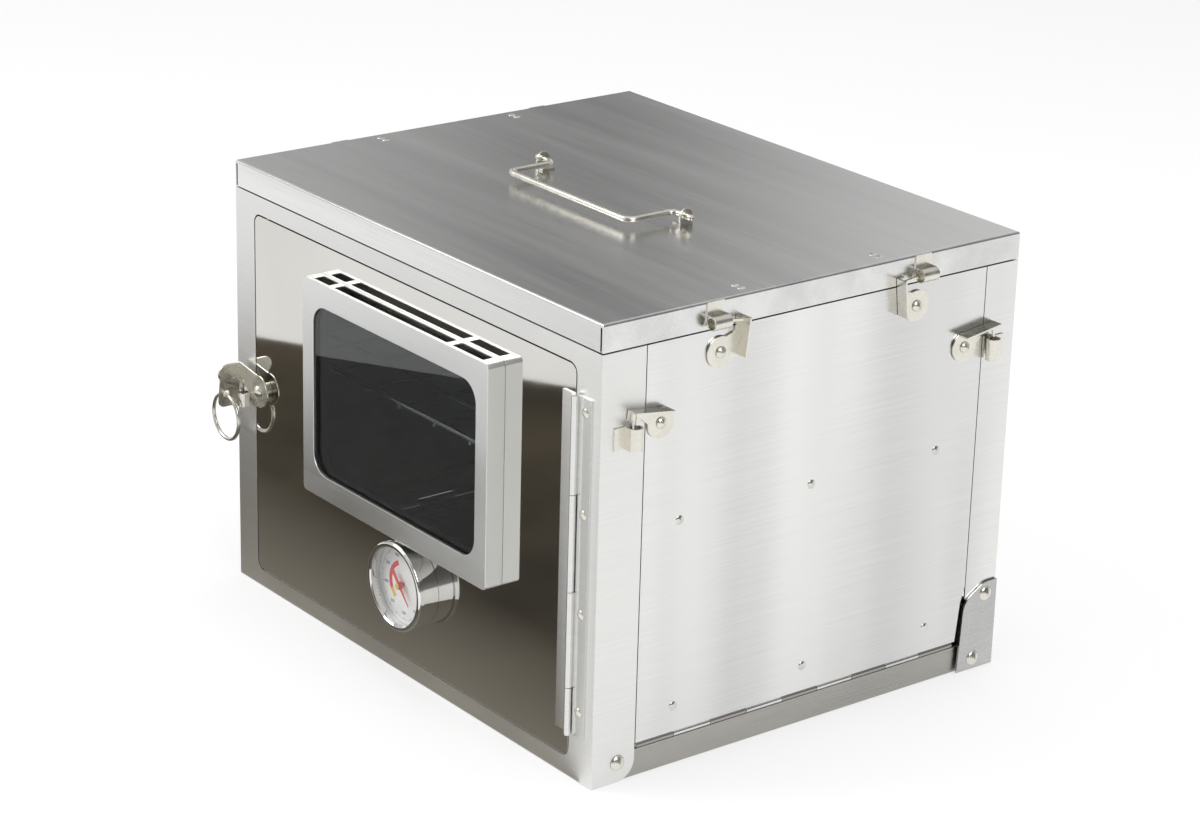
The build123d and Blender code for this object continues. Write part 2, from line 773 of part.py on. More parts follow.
def gauge_stem():
    # Spindle through the needle, boss in the dial, sensing stem through the door.
    front = gauge_front + spindle_front
    head = rod_y(gauge_x, (front, gauge_front + hub_front - knuckle_swing), gauge_z, spindle_head)
    shank = rod_y(gauge_x, (front, dial_back), gauge_z, spindle)
    boss = rod_y(gauge_x, (dial_back, dial_back + sheet), gauge_z, boss_radius)
    stem = rod_y(gauge_x, (dial_back + sheet, -half_d + stem_inside), gauge_z, stem_radius)
    return head + shank + boss + stem


def gauge_nut():
    nut = extrude(RegularPolygon(nut_radius, 6), amount=nut_thick)
    nut = Pos(gauge_x, -half_d + sheet + nut_thick, gauge_z) * Rot(90, 0, 0) * nut
    return nut - rod_y(gauge_x, grow((-half_d, -half_d + nut_thick), 2 * cut), gauge_z, stem_radius)


# ---- door latch and its ring ----------------------------------------------
def latch_hook():
    # Drawn latched with its rivet at the origin, then lifted by latch_off.
    y = (latch_plate_y - clip_sheet, latch_plate_y)
    across = (-latch_reach, -latch_reach + clip_sheet)
    tab_front = latch_plate_y - latch_tab_out
    hook = rod_y(0, y, 0, latch_disc)
    hook += block((-latch_reach, 0), y, (latch_arm_low, latch_arm_top))
    tab = block(across, (tab_front, latch_plate_y), (latch_arm_top - latch_tab_height, latch_arm_top))
    tab = fillet(tab.edges().filter_by(Axis.X).group_by(Axis.Y)[0], latch_tab_round)
    tab += rod_x(across, tab_front + latch_lobe - latch_lobe_out, latch_arm_top - latch_lobe, latch_lobe)
    hook += tab - rod_x(grow(across, cut), ring_hole_y, -ring_hole_drop, ring_wire + ring_hole_play)
    hook += block(around(latch_keeper_x - latch_x, finger / 2), around(-half_d - clip_out, finger / 2),
                  (-latch_keeper_drop - finger_in, 0))
    hook -= rod_y(0, grow(y, cut), 0, clip_shaft + fit)
    return Pos(latch_x, 0, latch_z) * Rot(0, latch_off, 0) * hook


def latch_rivet():
    head_y = latch_plate_y - clip_sheet - clear / 2
    rivet = rivet_y(latch_x, (head_y, -half_d + sheet), latch_z, clip_shaft, latch_head, latch_head_rise,
                    latch_tail)
    return rivet + rod_y(latch_x, (latch_plate_y + clear / 2, -half_d), latch_z, latch_shoulder)


def latch_keeper():
    # A strap beside the door that ends in an upright curl.
    top = latch_z - latch_keeper_drop
    span = (top - latch_keeper_height, top)
    centre = Pos(latch_keeper_x, -half_d - clip_out, (span[0] + span[1]) / 2)
    curl = centre * Rot(0, 0, -90) * roll(latch_keeper_height)
    strap_end = latch_keeper_x - roll_outer - latch_strap
    strap = block((strap_end, latch_keeper_x), (-half_d - strap_sheet, -half_d), span)
    neck = block((latch_keeper_x - roll_outer, latch_keeper_x - roll_inner - neck_lap),
                 (-half_d - clip_out, -half_d - neck_back), span)
    return strap + neck + curl


def latch_ring():
    # Hangs through the tab's hole, its plane across the front.
    hole_x = -latch_reach + clip_sheet / 2
    angle = radians(latch_off)
    x = latch_x + hole_x * cos(angle) - ring_hole_drop * sin(angle)
    z = latch_z - hole_x * sin(angle) - ring_hole_drop * cos(angle)
    wire_z = z - ring_hole_play + clear
    radius = ring_outer - ring_wire
    return Pos(x, ring_hole_y, wire_z - radius) * Rot(90, 0, 0) * Torus(radius, ring_wire)


# ---- lid ----------------------------------------------------------------------
def lid_panel():
    shell = block((-half_w, half_w), (-half_d, half_d), (rim_z, height))
    shell = fillet(shell.edges().group_by(Axis.Z)[-1], rim_bend)
    inside = block((-inner_x, inner_x), (-half_d + sheet, half_d - sheet), (rim_z - cut, height - sheet))
    shell -= fillet(inside.edges().group_by(Axis.Z)[-1], rim_bend - sheet)
    for side_x in (-1, 1):
        for side_y in (-1, 1):
            x = sorted((side_x * (inner_x - rim_slit), side_x * inner_x))
            y = sorted((side_y * (half_d - sheet), side_y * (half_d + cut)))
            shell -= block(x, y, (rim_z - cut, height - rim_bend - sheet / 2))
    for x, y in lid_rivet_places():
        shell -= rod_z(x, y, grow((height - sheet, height), cut), small_rivet)
    return shell


def stiffener_x():
    return inner_x - stiffener_inset - stiffener_width / 2


def lid_rivet_places():
    places = []
    for side in (-1, 1):
        for y in lid_rivet_y:
            for step in (-0.5, 0.5):
                places.append((side * (stiffener_x() + step * lid_rivet_pair), y))
    return places


def lid_stiffener():
    # A folded channel that rests on the side wall's top return.
    x = around(stiffener_x(), stiffener_width / 2)
    y = around(0, half_d - return_width - stiffener_end)
    low = wall_top + clear
    web_low = height - 2 * sheet
    shape = block(x, y, (low, height - sheet))
    shape -= block(grow(x, -sheet), grow(y, cut), (low - cut, web_low))
    shape += block((x[1] - sheet, inner_x - stiffener_lip), y, (low, low + sheet))
    for px, py in lid_rivet_places():
        shape -= rod_z(px, py, grow((web_low, height - sheet), cut), small_rivet)
    return shape


def lid_rivet(x, y):
    web_low = height - 2 * sheet
    rivet = rod_z(x, y, (web_low, height), small_rivet)
    rivet += Pos(x, y, height) * dome(lid_rivet_head, lid_rivet_rise)
    return rivet + rod_z(x, y, (web_low - tail_rise, web_low), lid_rivet_head)


# ---- handle -------------------------------------------------------------------
def handle_bail():
    points = [(-handle_end, handle_pivot_y), (-handle_x, handle_pivot_y), (-handle_x, handle_grip_y),
              (handle_x, handle_grip_y), (handle_x, handle_pivot_y), (handle_end, handle_pivot_y)]
    path = FilletPolyline(*[(x, y, handle_z) for x, y in points], radius=handle_bend)
    start = Plane(origin=path @ 0, z_dir=path % 0)
    return sweep(start * Circle(handle_wire), path=path)


def handle_eye():
    x = around(eye_x, eye_sheet / 2)
    half = handle_wire + eye_wall
    y = around(handle_pivot_y, half)
    eye = rod_x(x, handle_pivot_y, handle_z, half)
    eye += block(x, y, (height, handle_z))
    eye += block((x[0] - eye_foot, x[1]), y, (height, height + eye_foot_sheet))
    return eye - rod_x(grow(x, cut), handle_pivot_y, handle_z, handle_wire + fit)


# ---- rack ---------------------------------------------------------------------
def rack_frame():
    # Half of the ring, from the middle of the front to the middle of the rear, and its twin.
    points = [(0, rack_front), (rack_x, rack_front), (rack_x, rack_rear), (0, rack_rear)]
    path = FilletPolyline(*[(px, py, rack_z) for px, py in points], radius=rack_bend)
    start = Plane(origin=path @ 0, z_dir=path % 0)
    half = sweep(start * Circle(rack_wire), path=path)
    return half + flip(half, -1)


def rack_wires():
    # Long wires lie under the cross wires; every wire is a rod of its own.
    span = grow((rack_front, rack_rear), rack_overhang)
    each_side = int((rack_x - rail_reach) // rack_pitch_x)
    wires = [rod_y(index * rack_pitch_x, span, rack_z - 2 * cross_wire, cross_wire)
             for index in range(-each_side, each_side + 1)]
    count = round((rack_rear - rack_front) / rack_pitch_y)
    step = (rack_rear - rack_front) / count
    return wires + [rod_x((-rack_x, rack_x), rack_front + index * step, rack_z, cross_wire)
                    for index in range(1, count)]


# ---- write the sub-parts --------------------------------------------------------
os.makedirs("parts", exist_ok=True)

save("base_pan", base_pan())
save("side_hinge_base_leaves", pair(side_hinge_leaf(False)))
save("side_hinge_pins", pair(side_hinge_pin()))
save("front_pivot_rivets", pair(front_pivot_rivet()))
save("rear_brackets", pair(rear_bracket()))
save("rear_pivot_rivets", pair(rear_pivot_rivet()))
save("rear_foot_rivets", pair(rear_foot_rivet()))

save("front_wall", front_wall())
save("door_hinge_frame_leaf", door_hinge(False))
save("door_hinge_pin", door_hinge_pin())
save("door_hinge_rivets", group(*leaf_rivets()))
save("front_keepers", pair(corner_keeper(-1)))
save("latch_keeper", latch_keeper())

save("door_panel", door_panel())
save("door_hinge_door_leaf", door_hinge(True))
save("window_bezel", window_bezel())
save("window_glass", window_glass())
save("window_retainer", window_ring(glass_lap, (glass_back, glass_back + sheet)))
save("window_gasket", window_ring(gasket_width, (glass_back + sheet, -half_d)))
save("gauge_case", gauge_case())
save("gauge_bezel", gauge_bezel_ring())
save("gauge_lens", gauge_lens())
save("gauge_dial", gauge_dial())
save("gauge_needle", gauge_needle())
save("gauge_stem", gauge_stem())
save("gauge_nut", gauge_nut())
save("latch_rivet", latch_rivet())
save("latch_hook", latch_hook())
save("latch_ring", latch_ring())

save("rear_wall", rear_wall())
save("rear_keepers", pair(corner_keeper(1)))

for side, name in ((-1, "left"), (1, "right")):
    save(f"{name}_wall", flip(side_wall(), side))
    save(f"{name}_hinge_leaf", flip(side_hinge_leaf(True), side))
    save(f"{name}_upper_rail", flip(rail(rail_tops[0]), side))
    save(f"{name}_lower_rail", flip(rail(rail_tops[1]), side))
    save(f"{name}_rail_rivets", group(*[flip(rivet, side) for rivet in rail_rivets()]))
    save(f"{name}_clip_rivets", group(*[flip(rivet, side) for rivet in clip_rivets()]))
    for end, place in ((-1, "front"), (1, "rear")):
        save(f"{name}_{place}_lid_clip", flip(lid_clip(end), side))
        save(f"{name}_{place}_corner_clip", flip(corner_clip(end), side))

save("lid_panel", lid_panel())
save("lid_stiffeners", pair(lid_stiffener()))
save("lid_rivets", group(*[lid_rivet(x, y) for x, y in lid_rivet_places()]))
save("lid_keepers", group(*[flip(lid_keeper(end), side) for side in (-1, 1) for end in (-1, 1)]))
save("handle_eyes", pair(handle_eye()))
save("handle_bail", handle_bail())
save("rack_frame", rack_frame())
save("rack_wires", group(*rack_wires()))
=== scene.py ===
import json
import math

import bmesh
import bpy
from mathutils import Matrix, Vector


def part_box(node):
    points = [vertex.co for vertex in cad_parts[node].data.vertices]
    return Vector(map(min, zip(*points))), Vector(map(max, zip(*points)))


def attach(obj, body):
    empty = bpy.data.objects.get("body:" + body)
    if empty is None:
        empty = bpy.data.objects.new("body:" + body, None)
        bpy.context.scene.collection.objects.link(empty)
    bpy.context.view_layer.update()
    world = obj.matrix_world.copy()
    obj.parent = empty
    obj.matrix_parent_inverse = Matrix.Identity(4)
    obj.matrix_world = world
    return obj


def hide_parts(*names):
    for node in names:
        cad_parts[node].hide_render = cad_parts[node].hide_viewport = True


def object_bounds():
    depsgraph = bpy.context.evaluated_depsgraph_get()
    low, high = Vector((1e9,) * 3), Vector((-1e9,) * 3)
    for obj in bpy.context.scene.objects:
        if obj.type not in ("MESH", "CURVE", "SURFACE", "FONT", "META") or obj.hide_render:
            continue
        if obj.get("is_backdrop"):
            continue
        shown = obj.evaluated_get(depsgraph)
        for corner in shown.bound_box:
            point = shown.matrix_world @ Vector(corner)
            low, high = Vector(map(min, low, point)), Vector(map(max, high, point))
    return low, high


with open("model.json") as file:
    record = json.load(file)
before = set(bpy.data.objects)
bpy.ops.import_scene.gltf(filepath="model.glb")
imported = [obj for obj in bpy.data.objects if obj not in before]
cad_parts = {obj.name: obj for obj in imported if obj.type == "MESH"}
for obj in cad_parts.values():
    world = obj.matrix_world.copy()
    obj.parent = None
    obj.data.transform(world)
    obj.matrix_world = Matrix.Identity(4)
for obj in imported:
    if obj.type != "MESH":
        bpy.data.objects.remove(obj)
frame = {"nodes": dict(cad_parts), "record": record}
nodes = frame["nodes"]
cadBounds = [list(corner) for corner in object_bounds()]
bodyOf = {node: body for body, members in frame["record"]["behaviour"]["bodies"].items() for node in members}
slotOf = {part["node"]: part["material_slot"] for part in frame["record"]["subparts"]}
mm = 0.001
print("frame loaded,", len(nodes), "nodes")


# helpers for node trees
def addNode(tree, kind, inputs=None, **settings):
    node = tree.nodes.new(kind)
    for key, value in settings.items():
        setattr(node, key, value)
    for key, value in (inputs or {}).items():
        if isinstance(value, bpy.types.NodeSocket):
            tree.links.new(value, node.inputs[key])
        else:
            node.inputs[key].default_value = value
    return node


def doMath(tree, operation, first, second=0.0, clamp=False):
    node = addNode(tree, "ShaderNodeMath", {0: first, 1: second}, operation=operation, use_clamp=clamp)
    return node.outputs[0]


def startMaterial(name):
    material = bpy.data.materials.new(name)
    material.use_nodes = True
    material.node_tree.nodes.clear()
    return material, material.node_tree


def objectPlace(tree, scale=(1, 1, 1)):
    place = addNode(tree, "ShaderNodeTexCoord").outputs["Object"]
    return addNode(tree, "ShaderNodeMapping", {"Vector": place, "Scale": scale}).outputs["Vector"]


def noise(tree, scale, detail=2.0, roughness=0.5):
    # scale is in features per metre along X, Y and Z
    place = objectPlace(tree, scale)
    texture = addNode(tree, "ShaderNodeTexNoise", {"Vector": place, "Scale": 1.0, "Detail": detail,
                                                   "Roughness": roughness})
    return texture.outputs["Fac"]


def spread(tree, value, low, high, start=0.3, end=0.7):
    return addNode(tree, "ShaderNodeMapRange", {"Value": value, "From Min": start, "From Max": end,
                                                "To Min": low, "To Max": high}).outputs["Result"]


def blendColours(tree, factor, first, second):
    node = addNode(tree, "ShaderNodeMix", data_type="RGBA")
    tree.links.new(factor, node.inputs[0])
    node.inputs[6].default_value = (*first, 1)
    node.inputs[7].default_value = (*second, 1)
    return node.outputs[2]


def bumped(tree, height, distance, normal=None):
    inputs = {"Height": height, "Strength": 1.0, "Distance": distance}
    if normal:
        inputs["Normal"] = normal
    return addNode(tree, "ShaderNodeBump", inputs).outputs["Normal"]


def metalShader(tree, colour, rough, normal):
    values = {"Base Color": colour, "Metallic": 1.0, "Roughness": rough, "Normal": normal}
    return addNode(tree, "ShaderNodeBsdfPrincipled", values).outputs["BSDF"]


def endMaterial(tree, shader):
    output = addNode(tree, "ShaderNodeOutputMaterial")
    tree.links.new(shader, output.inputs["Surface"])


# rolled and brushed sheet: grain and bands are in features per metre along X, Y and Z
brushedLooks = {
    "lidSteel": {"light": (0.78, 0.78, 0.77), "dark": (0.62, 0.62, 0.615), "grain": (14, 1500, 1500),
                 "grainShare": 0.4, "bands": (2.5, 40, 40), "roughness": (0.20, 0.27), "depth": 0.000006,
                 "sway": 0.00012},
    "wallSteel": {"light": (0.84, 0.84, 0.82), "dark": (0.62, 0.62, 0.61), "grain": (12, 12, 1500),
                  "grainShare": 0.14, "bands": (11, 11, 0.8), "roughness": (0.19, 0.26), "depth": 0.000003,
                  "sway": 0.00020},
    "frameSteel": {"light": (0.84, 0.84, 0.82), "dark": (0.74, 0.74, 0.73), "grain": (12, 12, 1500),
                   "grainShare": 0.3, "bands": (9, 9, 1.5), "roughness": (0.36, 0.44), "depth": 0.000004,
                   "sway": 0.00010},
    # painted reflection: darker than the wall steel, as if it mirrored a dark stove top
    "bracketSteelPaintedReflection": {"light": (0.60, 0.60, 0.59), "dark": (0.50, 0.50, 0.49), "grain": (60, 60, 1500),
                     "grainShare": 0.4, "bands": (30, 30, 8), "roughness": (0.26, 0.34), "depth": 0.000004,
                     "sway": 0.00008},
    "panSteel": {"light": (0.43, 0.415, 0.39), "dark": (0.34, 0.33, 0.31), "grain": (12, 12, 1500),
                 "grainShare": 0.4, "bands": (6, 6, 20), "roughness": (0.24, 0.34), "depth": 0.000006,
                 "sway": 0.00010},
    "bezelSteel": {"light": (0.84, 0.85, 0.84), "dark": (0.78, 0.79, 0.78), "grain": (12, 1200, 1200),
                   "grainShare": 0.4, "bands": (7, 7, 12), "roughness": (0.34, 0.42), "depth": 0.000004,
                   "sway": 0.00004},
}
polishedLooks = {
    "doorSteel": {"light": (0.66, 0.65, 0.62), "dark": (0.60, 0.59, 0.56), "blotch": (9, 9, 9),
                  "roughness": (0.03, 0.06), "wave": (7, 7, 5), "waveDepth": 0.00018},
    "hardwareSteel": {"light": (0.80, 0.78, 0.71), "dark": (0.70, 0.68, 0.60), "blotch": (120, 120, 120),
                      "roughness": (0.22, 0.32), "wave": (220, 220, 220), "waveDepth": 0.000004},
    "rivetSteel": {"light": (0.74, 0.73, 0.70), "dark": (0.62, 0.61, 0.58), "blotch": (150, 150, 150),
                   "roughness": (0.09, 0.15), "wave": (220, 220, 220), "waveDepth": 0.000003},
    "rackChrome": {"light": (0.82, 0.82, 0.81), "dark": (0.74, 0.74, 0.73), "blotch": (60, 60, 60),
                   "roughness": (0.07, 0.13), "wave": (120, 120, 120), "waveDepth": 0.000004},
    "gaugeChrome": {"light": (0.83, 0.83, 0.82), "dark": (0.77, 0.77, 0.76), "blotch": (90, 90, 90),
                    "roughness": (0.05, 0.10), "wave": (60, 60, 60), "waveDepth": 0.000003},
}


# painted shade: the faces inside the oven are darkened as if in shadow; how far in they start, and how much
# light they keep
insidePaintedShade = {"in": 0.0004, "keep": 0.68}


def insideMask(tree):
    # 1 between the walls, under the lid and above the side hinges
    low = [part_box("left_wall")[0][0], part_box("front_wall")[0][1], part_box("side_hinge_pins")[1][2]]
    high = [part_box("right_wall")[1][0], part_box("rear_wall")[1][1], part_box("lid_panel")[1][2]]
    place = addNode(tree, "ShaderNodeSeparateXYZ", {"Vector": objectPlace(tree)}).outputs
    mask = None
    for axis in range(3):
        above = doMath(tree, "GREATER_THAN", place[axis], low[axis] + insidePaintedShade["in"])
        below = doMath(tree, "LESS_THAN", place[axis], high[axis] - insidePaintedShade["in"])
        within = doMath(tree, "MULTIPLY", above, below)
        mask = doMath(tree, "MULTIPLY", mask, within) if mask else within
    return mask


# painted shade: darkens the faces inside the oven
def paintedInsideShade(tree, colour):
    node = addNode(tree, "ShaderNodeMix", {0: insideMask(tree), 6: colour}, data_type="RGBA",
                   blend_type="MULTIPLY")
    node.inputs[7].default_value = (*[insidePaintedShade["keep"]] * 3, 1)
    return node.outputs[2]


def brushedSteel(name, look):
    material, tree = startMaterial(name)
    grain = noise(tree, look["grain"], 3.0, 0.6)
    bands = noise(tree, look["bands"], 2.0)
    share = look["grainShare"]
    tone = doMath(tree, "ADD", doMath(tree, "MULTIPLY", bands, 1 - share),
                  doMath(tree, "MULTIPLY", grain, share))
    colour = blendColours(tree, spread(tree, tone, 0, 1, 0.38, 0.62), look["dark"], look["light"])
    # painted shade on the faces inside the oven
    colour = paintedInsideShade(tree, colour)
    rough = spread(tree, tone, *look["roughness"], 0.4, 0.6)
    sway = bumped(tree, noise(tree, (5, 5, 5), 0.0), look["sway"])
    endMaterial(tree, metalShader(tree, colour, rough, bumped(tree, grain, look["depth"], sway)))
    return material


def polishedSteel(name, look):
    material, tree = startMaterial(name)
    blotch = noise(tree, look["blotch"], 3.0)
    colour = blendColours(tree, spread(tree, blotch, 0, 1), look["dark"], look["light"])
    rough = spread(tree, blotch, *look["roughness"])
    wave = bumped(tree, noise(tree, look["wave"], 1.0), look["waveDepth"])
    endMaterial(tree, metalShader(tree, colour, rough, wave))
    return material


paintLooks = {
    "dialEnamel": {"light": (0.93, 0.93, 0.91), "dark": (0.88, 0.88, 0.86),
                   "speck": 220, "roughness": (0.30, 0.42)},
    "dialInk": {"light": (0.05, 0.05, 0.05), "dark": (0.03, 0.03, 0.03),
                "speck": 400, "roughness": (0.40, 0.50)},
    "needleRed": {"light": (0.76, 0.06, 0.05), "dark": (0.62, 0.04, 0.03),
                  "speck": 500, "roughness": (0.30, 0.42)},
    "pivotBrass": {"light": (0.86, 0.56, 0.10), "dark": (0.72, 0.44, 0.06),
                   "speck": 600, "roughness": (0.25, 0.35)},
}


def paint(name, look):
    material, tree = startMaterial(name)
    speck = noise(tree, (look["speck"],) * 3, 3.0)
    colour = blendColours(tree, spread(tree, speck, 0, 1), look["dark"], look["light"])
    rough = spread(tree, speck, *look["roughness"])
    coat = addNode(tree, "ShaderNodeBsdfPrincipled", {"Base Color": colour, "Roughness": rough})
    endMaterial(tree, coat.outputs["BSDF"])
    return material


glassLooks = {
    # painted shade: the window pane's dark tint darkens the oven's inside seen through it
    "windowPane": {"clear": (0.34, 0.36, 0.37), "hazy": (0.31, 0.33, 0.34),
                   "haze": (0.0, 0.02), "blotch": 14},
    "gaugeLens": {"clear": (0.98, 0.98, 0.98), "hazy": (0.95, 0.96, 0.96), "haze": (0.0, 0.02), "blotch": 60},
}


def glass(name, look):
    # light passes straight through for shadows, so what lies behind stays lit
    material, tree = startMaterial(name)
    blotch = noise(tree, (look["blotch"],) * 3, 3.0)
    colour = blendColours(tree, spread(tree, blotch, 0, 1), look["hazy"], look["clear"])
    rough = spread(tree, blotch, *look["haze"])
    pane = addNode(tree, "ShaderNodeBsdfPrincipled", {"Base Color": colour, "Roughness": rough, "IOR": 1.45,
                                                      "Transmission Weight": 1.0})
    clear = addNode(tree, "ShaderNodeBsdfTransparent", {"Color": colour})
    path = addNode(tree, "ShaderNodeLightPath")
    mix = addNode(tree, "ShaderNodeMixShader", {0: path.outputs["Is Shadow Ray"], 1: pane.outputs["BSDF"],
                                                2: clear.outputs["BSDF"]})
    endMaterial(tree, mix.outputs["Shader"])
    return material


def wovenSeal(name):
    look = {"light": (0.17, 0.165, 0.15), "dark": (0.05, 0.05, 0.045), "twist": 700, "uneven": 1.5}
    material, tree = startMaterial(name)
    twist = {"Vector": objectPlace(tree), "Scale": look["twist"], "Distortion": look["uneven"]}
    strands = addNode(tree, "ShaderNodeTexWave", twist, bands_direction="DIAGONAL").outputs["Fac"]
    colour = blendColours(tree, strands, look["dark"], look["light"])
    rope = addNode(tree, "ShaderNodeBsdfPrincipled", {"Base Color": colour, "Roughness": 0.9,
                                                      "Normal": bumped(tree, strands, 0.0002)})
    endMaterial(tree, rope.outputs["BSDF"])
    return material


finish = {name: brushedSteel(name, look) for name, look in brushedLooks.items()}
finish.update({name: polishedSteel(name, look) for name, look in polishedLooks.items()})
finish.update({name: paint(name, look) for name, look in paintLooks.items()})
finish.update({name: glass(name, look) for name, look in glassLooks.items()})
finish["wovenSeal"] = wovenSeal("wovenSeal")
finishOfSlot = {
    "wall_steel": "wallSteel", "lid_steel": "lidSteel", "door_steel": "doorSteel",
    "bezel_steel": "bezelSteel", "hardware_steel": "hardwareSteel", "rack_steel": "rackChrome",
    "pan_steel": "panSteel",
    "gauge_chrome": "gaugeChrome", "dial_white": "dialEnamel", "needle_red": "needleRed",
    "window_glass": "windowPane", "lens_glass": "gaugeLens", "gasket_rope": "wovenSeal",
}
# where it differs from the slot's
finishOfNode = {"front_wall": "frameSteel", "rear_brackets": "bracketSteelPaintedReflection", "left_rail_rivets": "rivetSteel",
                "right_rail_rivets": "rivetSteel"}
print("finishes made,", len(finish))


# helpers for pieces
def finishFor(node):
    return finishOfNode.get(node) or finishOfSlot[slotOf[node]]


def setFinish(piece, name):
    piece.data.materials.clear()
    piece.data.materials.append(finish[name])


def newPiece(name, mesh):
    piece = bpy.data.objects.new(name, mesh)
    bpy.context.scene.collection.objects.link(piece)
    return piece


def pieceFromBmesh(name, bm):
    mesh = bpy.data.meshes.new(name)
    bmesh.ops.recalc_face_normals(bm, faces=bm.faces)
    bm.to_mesh(mesh)
    bm.free()
    return newPiece(name, mesh)


def smoothByAngle(mesh, degrees):
    bm = bmesh.new()
    bm.from_mesh(mesh)
    for face in bm.faces:
        face.smooth = True
    for edge in bm.edges:
        edge.smooth = not edge.is_manifold or edge.calc_face_angle(0) < math.radians(degrees)
    bm.to_mesh(mesh)
    bm.free()


def bakeModifiers(piece):
    graph = bpy.context.evaluated_depsgraph_get()
    mesh = bpy.data.meshes.new_from_object(piece.evaluated_get(graph))
    piece.modifiers.clear()
    piece.data = mesh
    return piece


def shadeFlatFaces(piece, degrees=32):
    # bevels stay round while the flat faces keep the shade of flat sheet
    smoothByAngle(piece.data, degrees)
    weigh = piece.modifiers.new("flatShade", "WEIGHTED_NORMAL")
    weigh.keep_sharp = True
    weigh.weight = 100
    return bakeModifiers(piece)


def standFor(piece, *replaced):
    # the piece takes the place, body and slot of the CAD nodes that it stands for
    setFinish(piece, finishFor(replaced[0]))
    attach(piece, bodyOf[replaced[0]])
    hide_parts(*replaced)
    return piece


def addTo(piece, node, material):
    # an added detail that rides with a CAD node
    setFinish(piece, material)
    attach(piece, bodyOf[node])
    return piece


def mergedCopy(node):
    bm = bmesh.new()
    bm.from_mesh(nodes[node].data)
    bmesh.ops.remove_doubles(bm, verts=bm.verts, dist=0.002 * mm)
    return bm


def islandBoxes(node):
    # lowest and highest corner of each separate solid of a node
    bm = mergedCopy(node)
    waiting = set(bm.verts)
    boxes = []
    while waiting:
        reach = [waiting.pop()]
        found = []
        while reach:
            vert = reach.pop()
            found.append(vert.co.copy())
            for edge in vert.link_edges:
                other = edge.other_vert(vert)
                if other in waiting:
                    waiting.remove(other)
                    reach.append(other)
        low = Vector([min(point[axis] for point in found) for axis in range(3)])
        high = Vector([max(point[axis] for point in found) for axis in range(3)])
        boxes.append((low, high))
    bm.free()
    return sorted(boxes, key=lambda box: tuple(box[0]))


# helpers for Geometry Nodes
def startTree(name, sizes):
    # a tree that takes points or lines, named sizes and a finish
    tree = bpy.data.node_groups.new(name, "GeometryNodeTree")
    sockets = tree.interface
    sockets.new_socket("Places", in_out="INPUT", socket_type="NodeSocketGeometry")
    for label, value in sizes.items():
        kind = "NodeSocketInt" if isinstance(value, int) else "NodeSocketFloat"
        sockets.new_socket(label, in_out="INPUT", socket_type=kind).default_value = value
    sockets.new_socket("Finish", in_out="INPUT", socket_type="NodeSocketMaterial")
    sockets.new_socket("Geometry", in_out="OUTPUT", socket_type="NodeSocketGeometry")
    return tree, addNode(tree, "NodeGroupInput").outputs


def endTree(tree, shape, taken):
    real = addNode(tree, "GeometryNodeRealizeInstances", {"Geometry": shape}).outputs[0]
    coated = addNode(tree, "GeometryNodeSetMaterial", {"Geometry": real, "Material": taken["Finish"]})
    addNode(tree, "NodeGroupOutput", {"Geometry": coated.outputs[0]})


def runTree(piece, tree, sizes, material):
    modifier = piece.modifiers.new(tree.name, "NODES")
    modifier.node_group = tree
    values = dict(sizes, Finish=finish[material])
    for item in tree.interface.items_tree:
        if item.in_out == "INPUT" and item.name in values:
            modifier[item.identifier] = values[item.name]
    return bakeModifiers(piece)


def combine(tree, x=0.0, y=0.0, z=0.0):
    return addNode(tree, "ShaderNodeCombineXYZ", {0: x, 1: y, 2: z}).outputs[0]


def unitRing(tree, sides):
    return addNode(tree, "GeometryNodeCurvePrimitiveCircle", {"Resolution": sides, "Radius": 1.0}).outputs[0]


def softShade(tree, shape, degrees=35.0):
    angle = addNode(tree, "GeometryNodeInputMeshEdgeAngle").outputs[0]
    soft = addNode(tree, "FunctionNodeCompare", {0: angle, 1: math.radians(degrees)}, operation="LESS_THAN")
    faces = addNode(tree, "GeometryNodeSetShadeSmooth", {"Geometry": shape}, domain="FACE").outputs[0]
    return addNode(tree, "GeometryNodeSetShadeSmooth", {"Geometry": faces, "Shade Smooth": soft.outputs[0]},
                   domain="EDGE").outputs[0]


# sheet metal: every cut edge is slightly rounded (millimetres)
sheetEdges = {
    "lid_panel": 0.30, "lid_stiffeners": 0.20, "base_pan": 0.30, "front_wall": 0.30, "rear_wall": 0.30,
    "left_wall": 0.25, "right_wall": 0.25, "rear_brackets": 0.30, "door_panel": 0.35, "window_bezel": 0.35,
    "window_retainer": 0.15, "window_glass": 0.25, "side_hinge_base_leaves": 0.15, "left_hinge_leaf": 0.15,
    "right_hinge_leaf": 0.15, "door_hinge_frame_leaf": 0.18, "door_hinge_door_leaf": 0.18,
    "left_upper_rail": 0.20, "left_lower_rail": 0.20, "right_upper_rail": 0.20, "right_lower_rail": 0.20,
    "front_keepers": 0.15, "rear_keepers": 0.15, "lid_keepers": 0.15, "latch_keeper": 0.15,
    "latch_hook": 0.20, "handle_eyes": 0.25, "gauge_nut": 0.30, "gauge_needle": 0.08,
    "left_front_lid_clip": 0.18, "left_rear_lid_clip": 0.18, "left_front_corner_clip": 0.18,
    "left_rear_corner_clip": 0.18, "right_front_lid_clip": 0.18, "right_rear_lid_clip": 0.18,
    "right_front_corner_clip": 0.18, "right_rear_corner_clip": 0.18,
}

cutEdge = {"flatWithin": 0.5, "sharpFrom": 40, "segments": 2}  # degrees, and steps around each edge


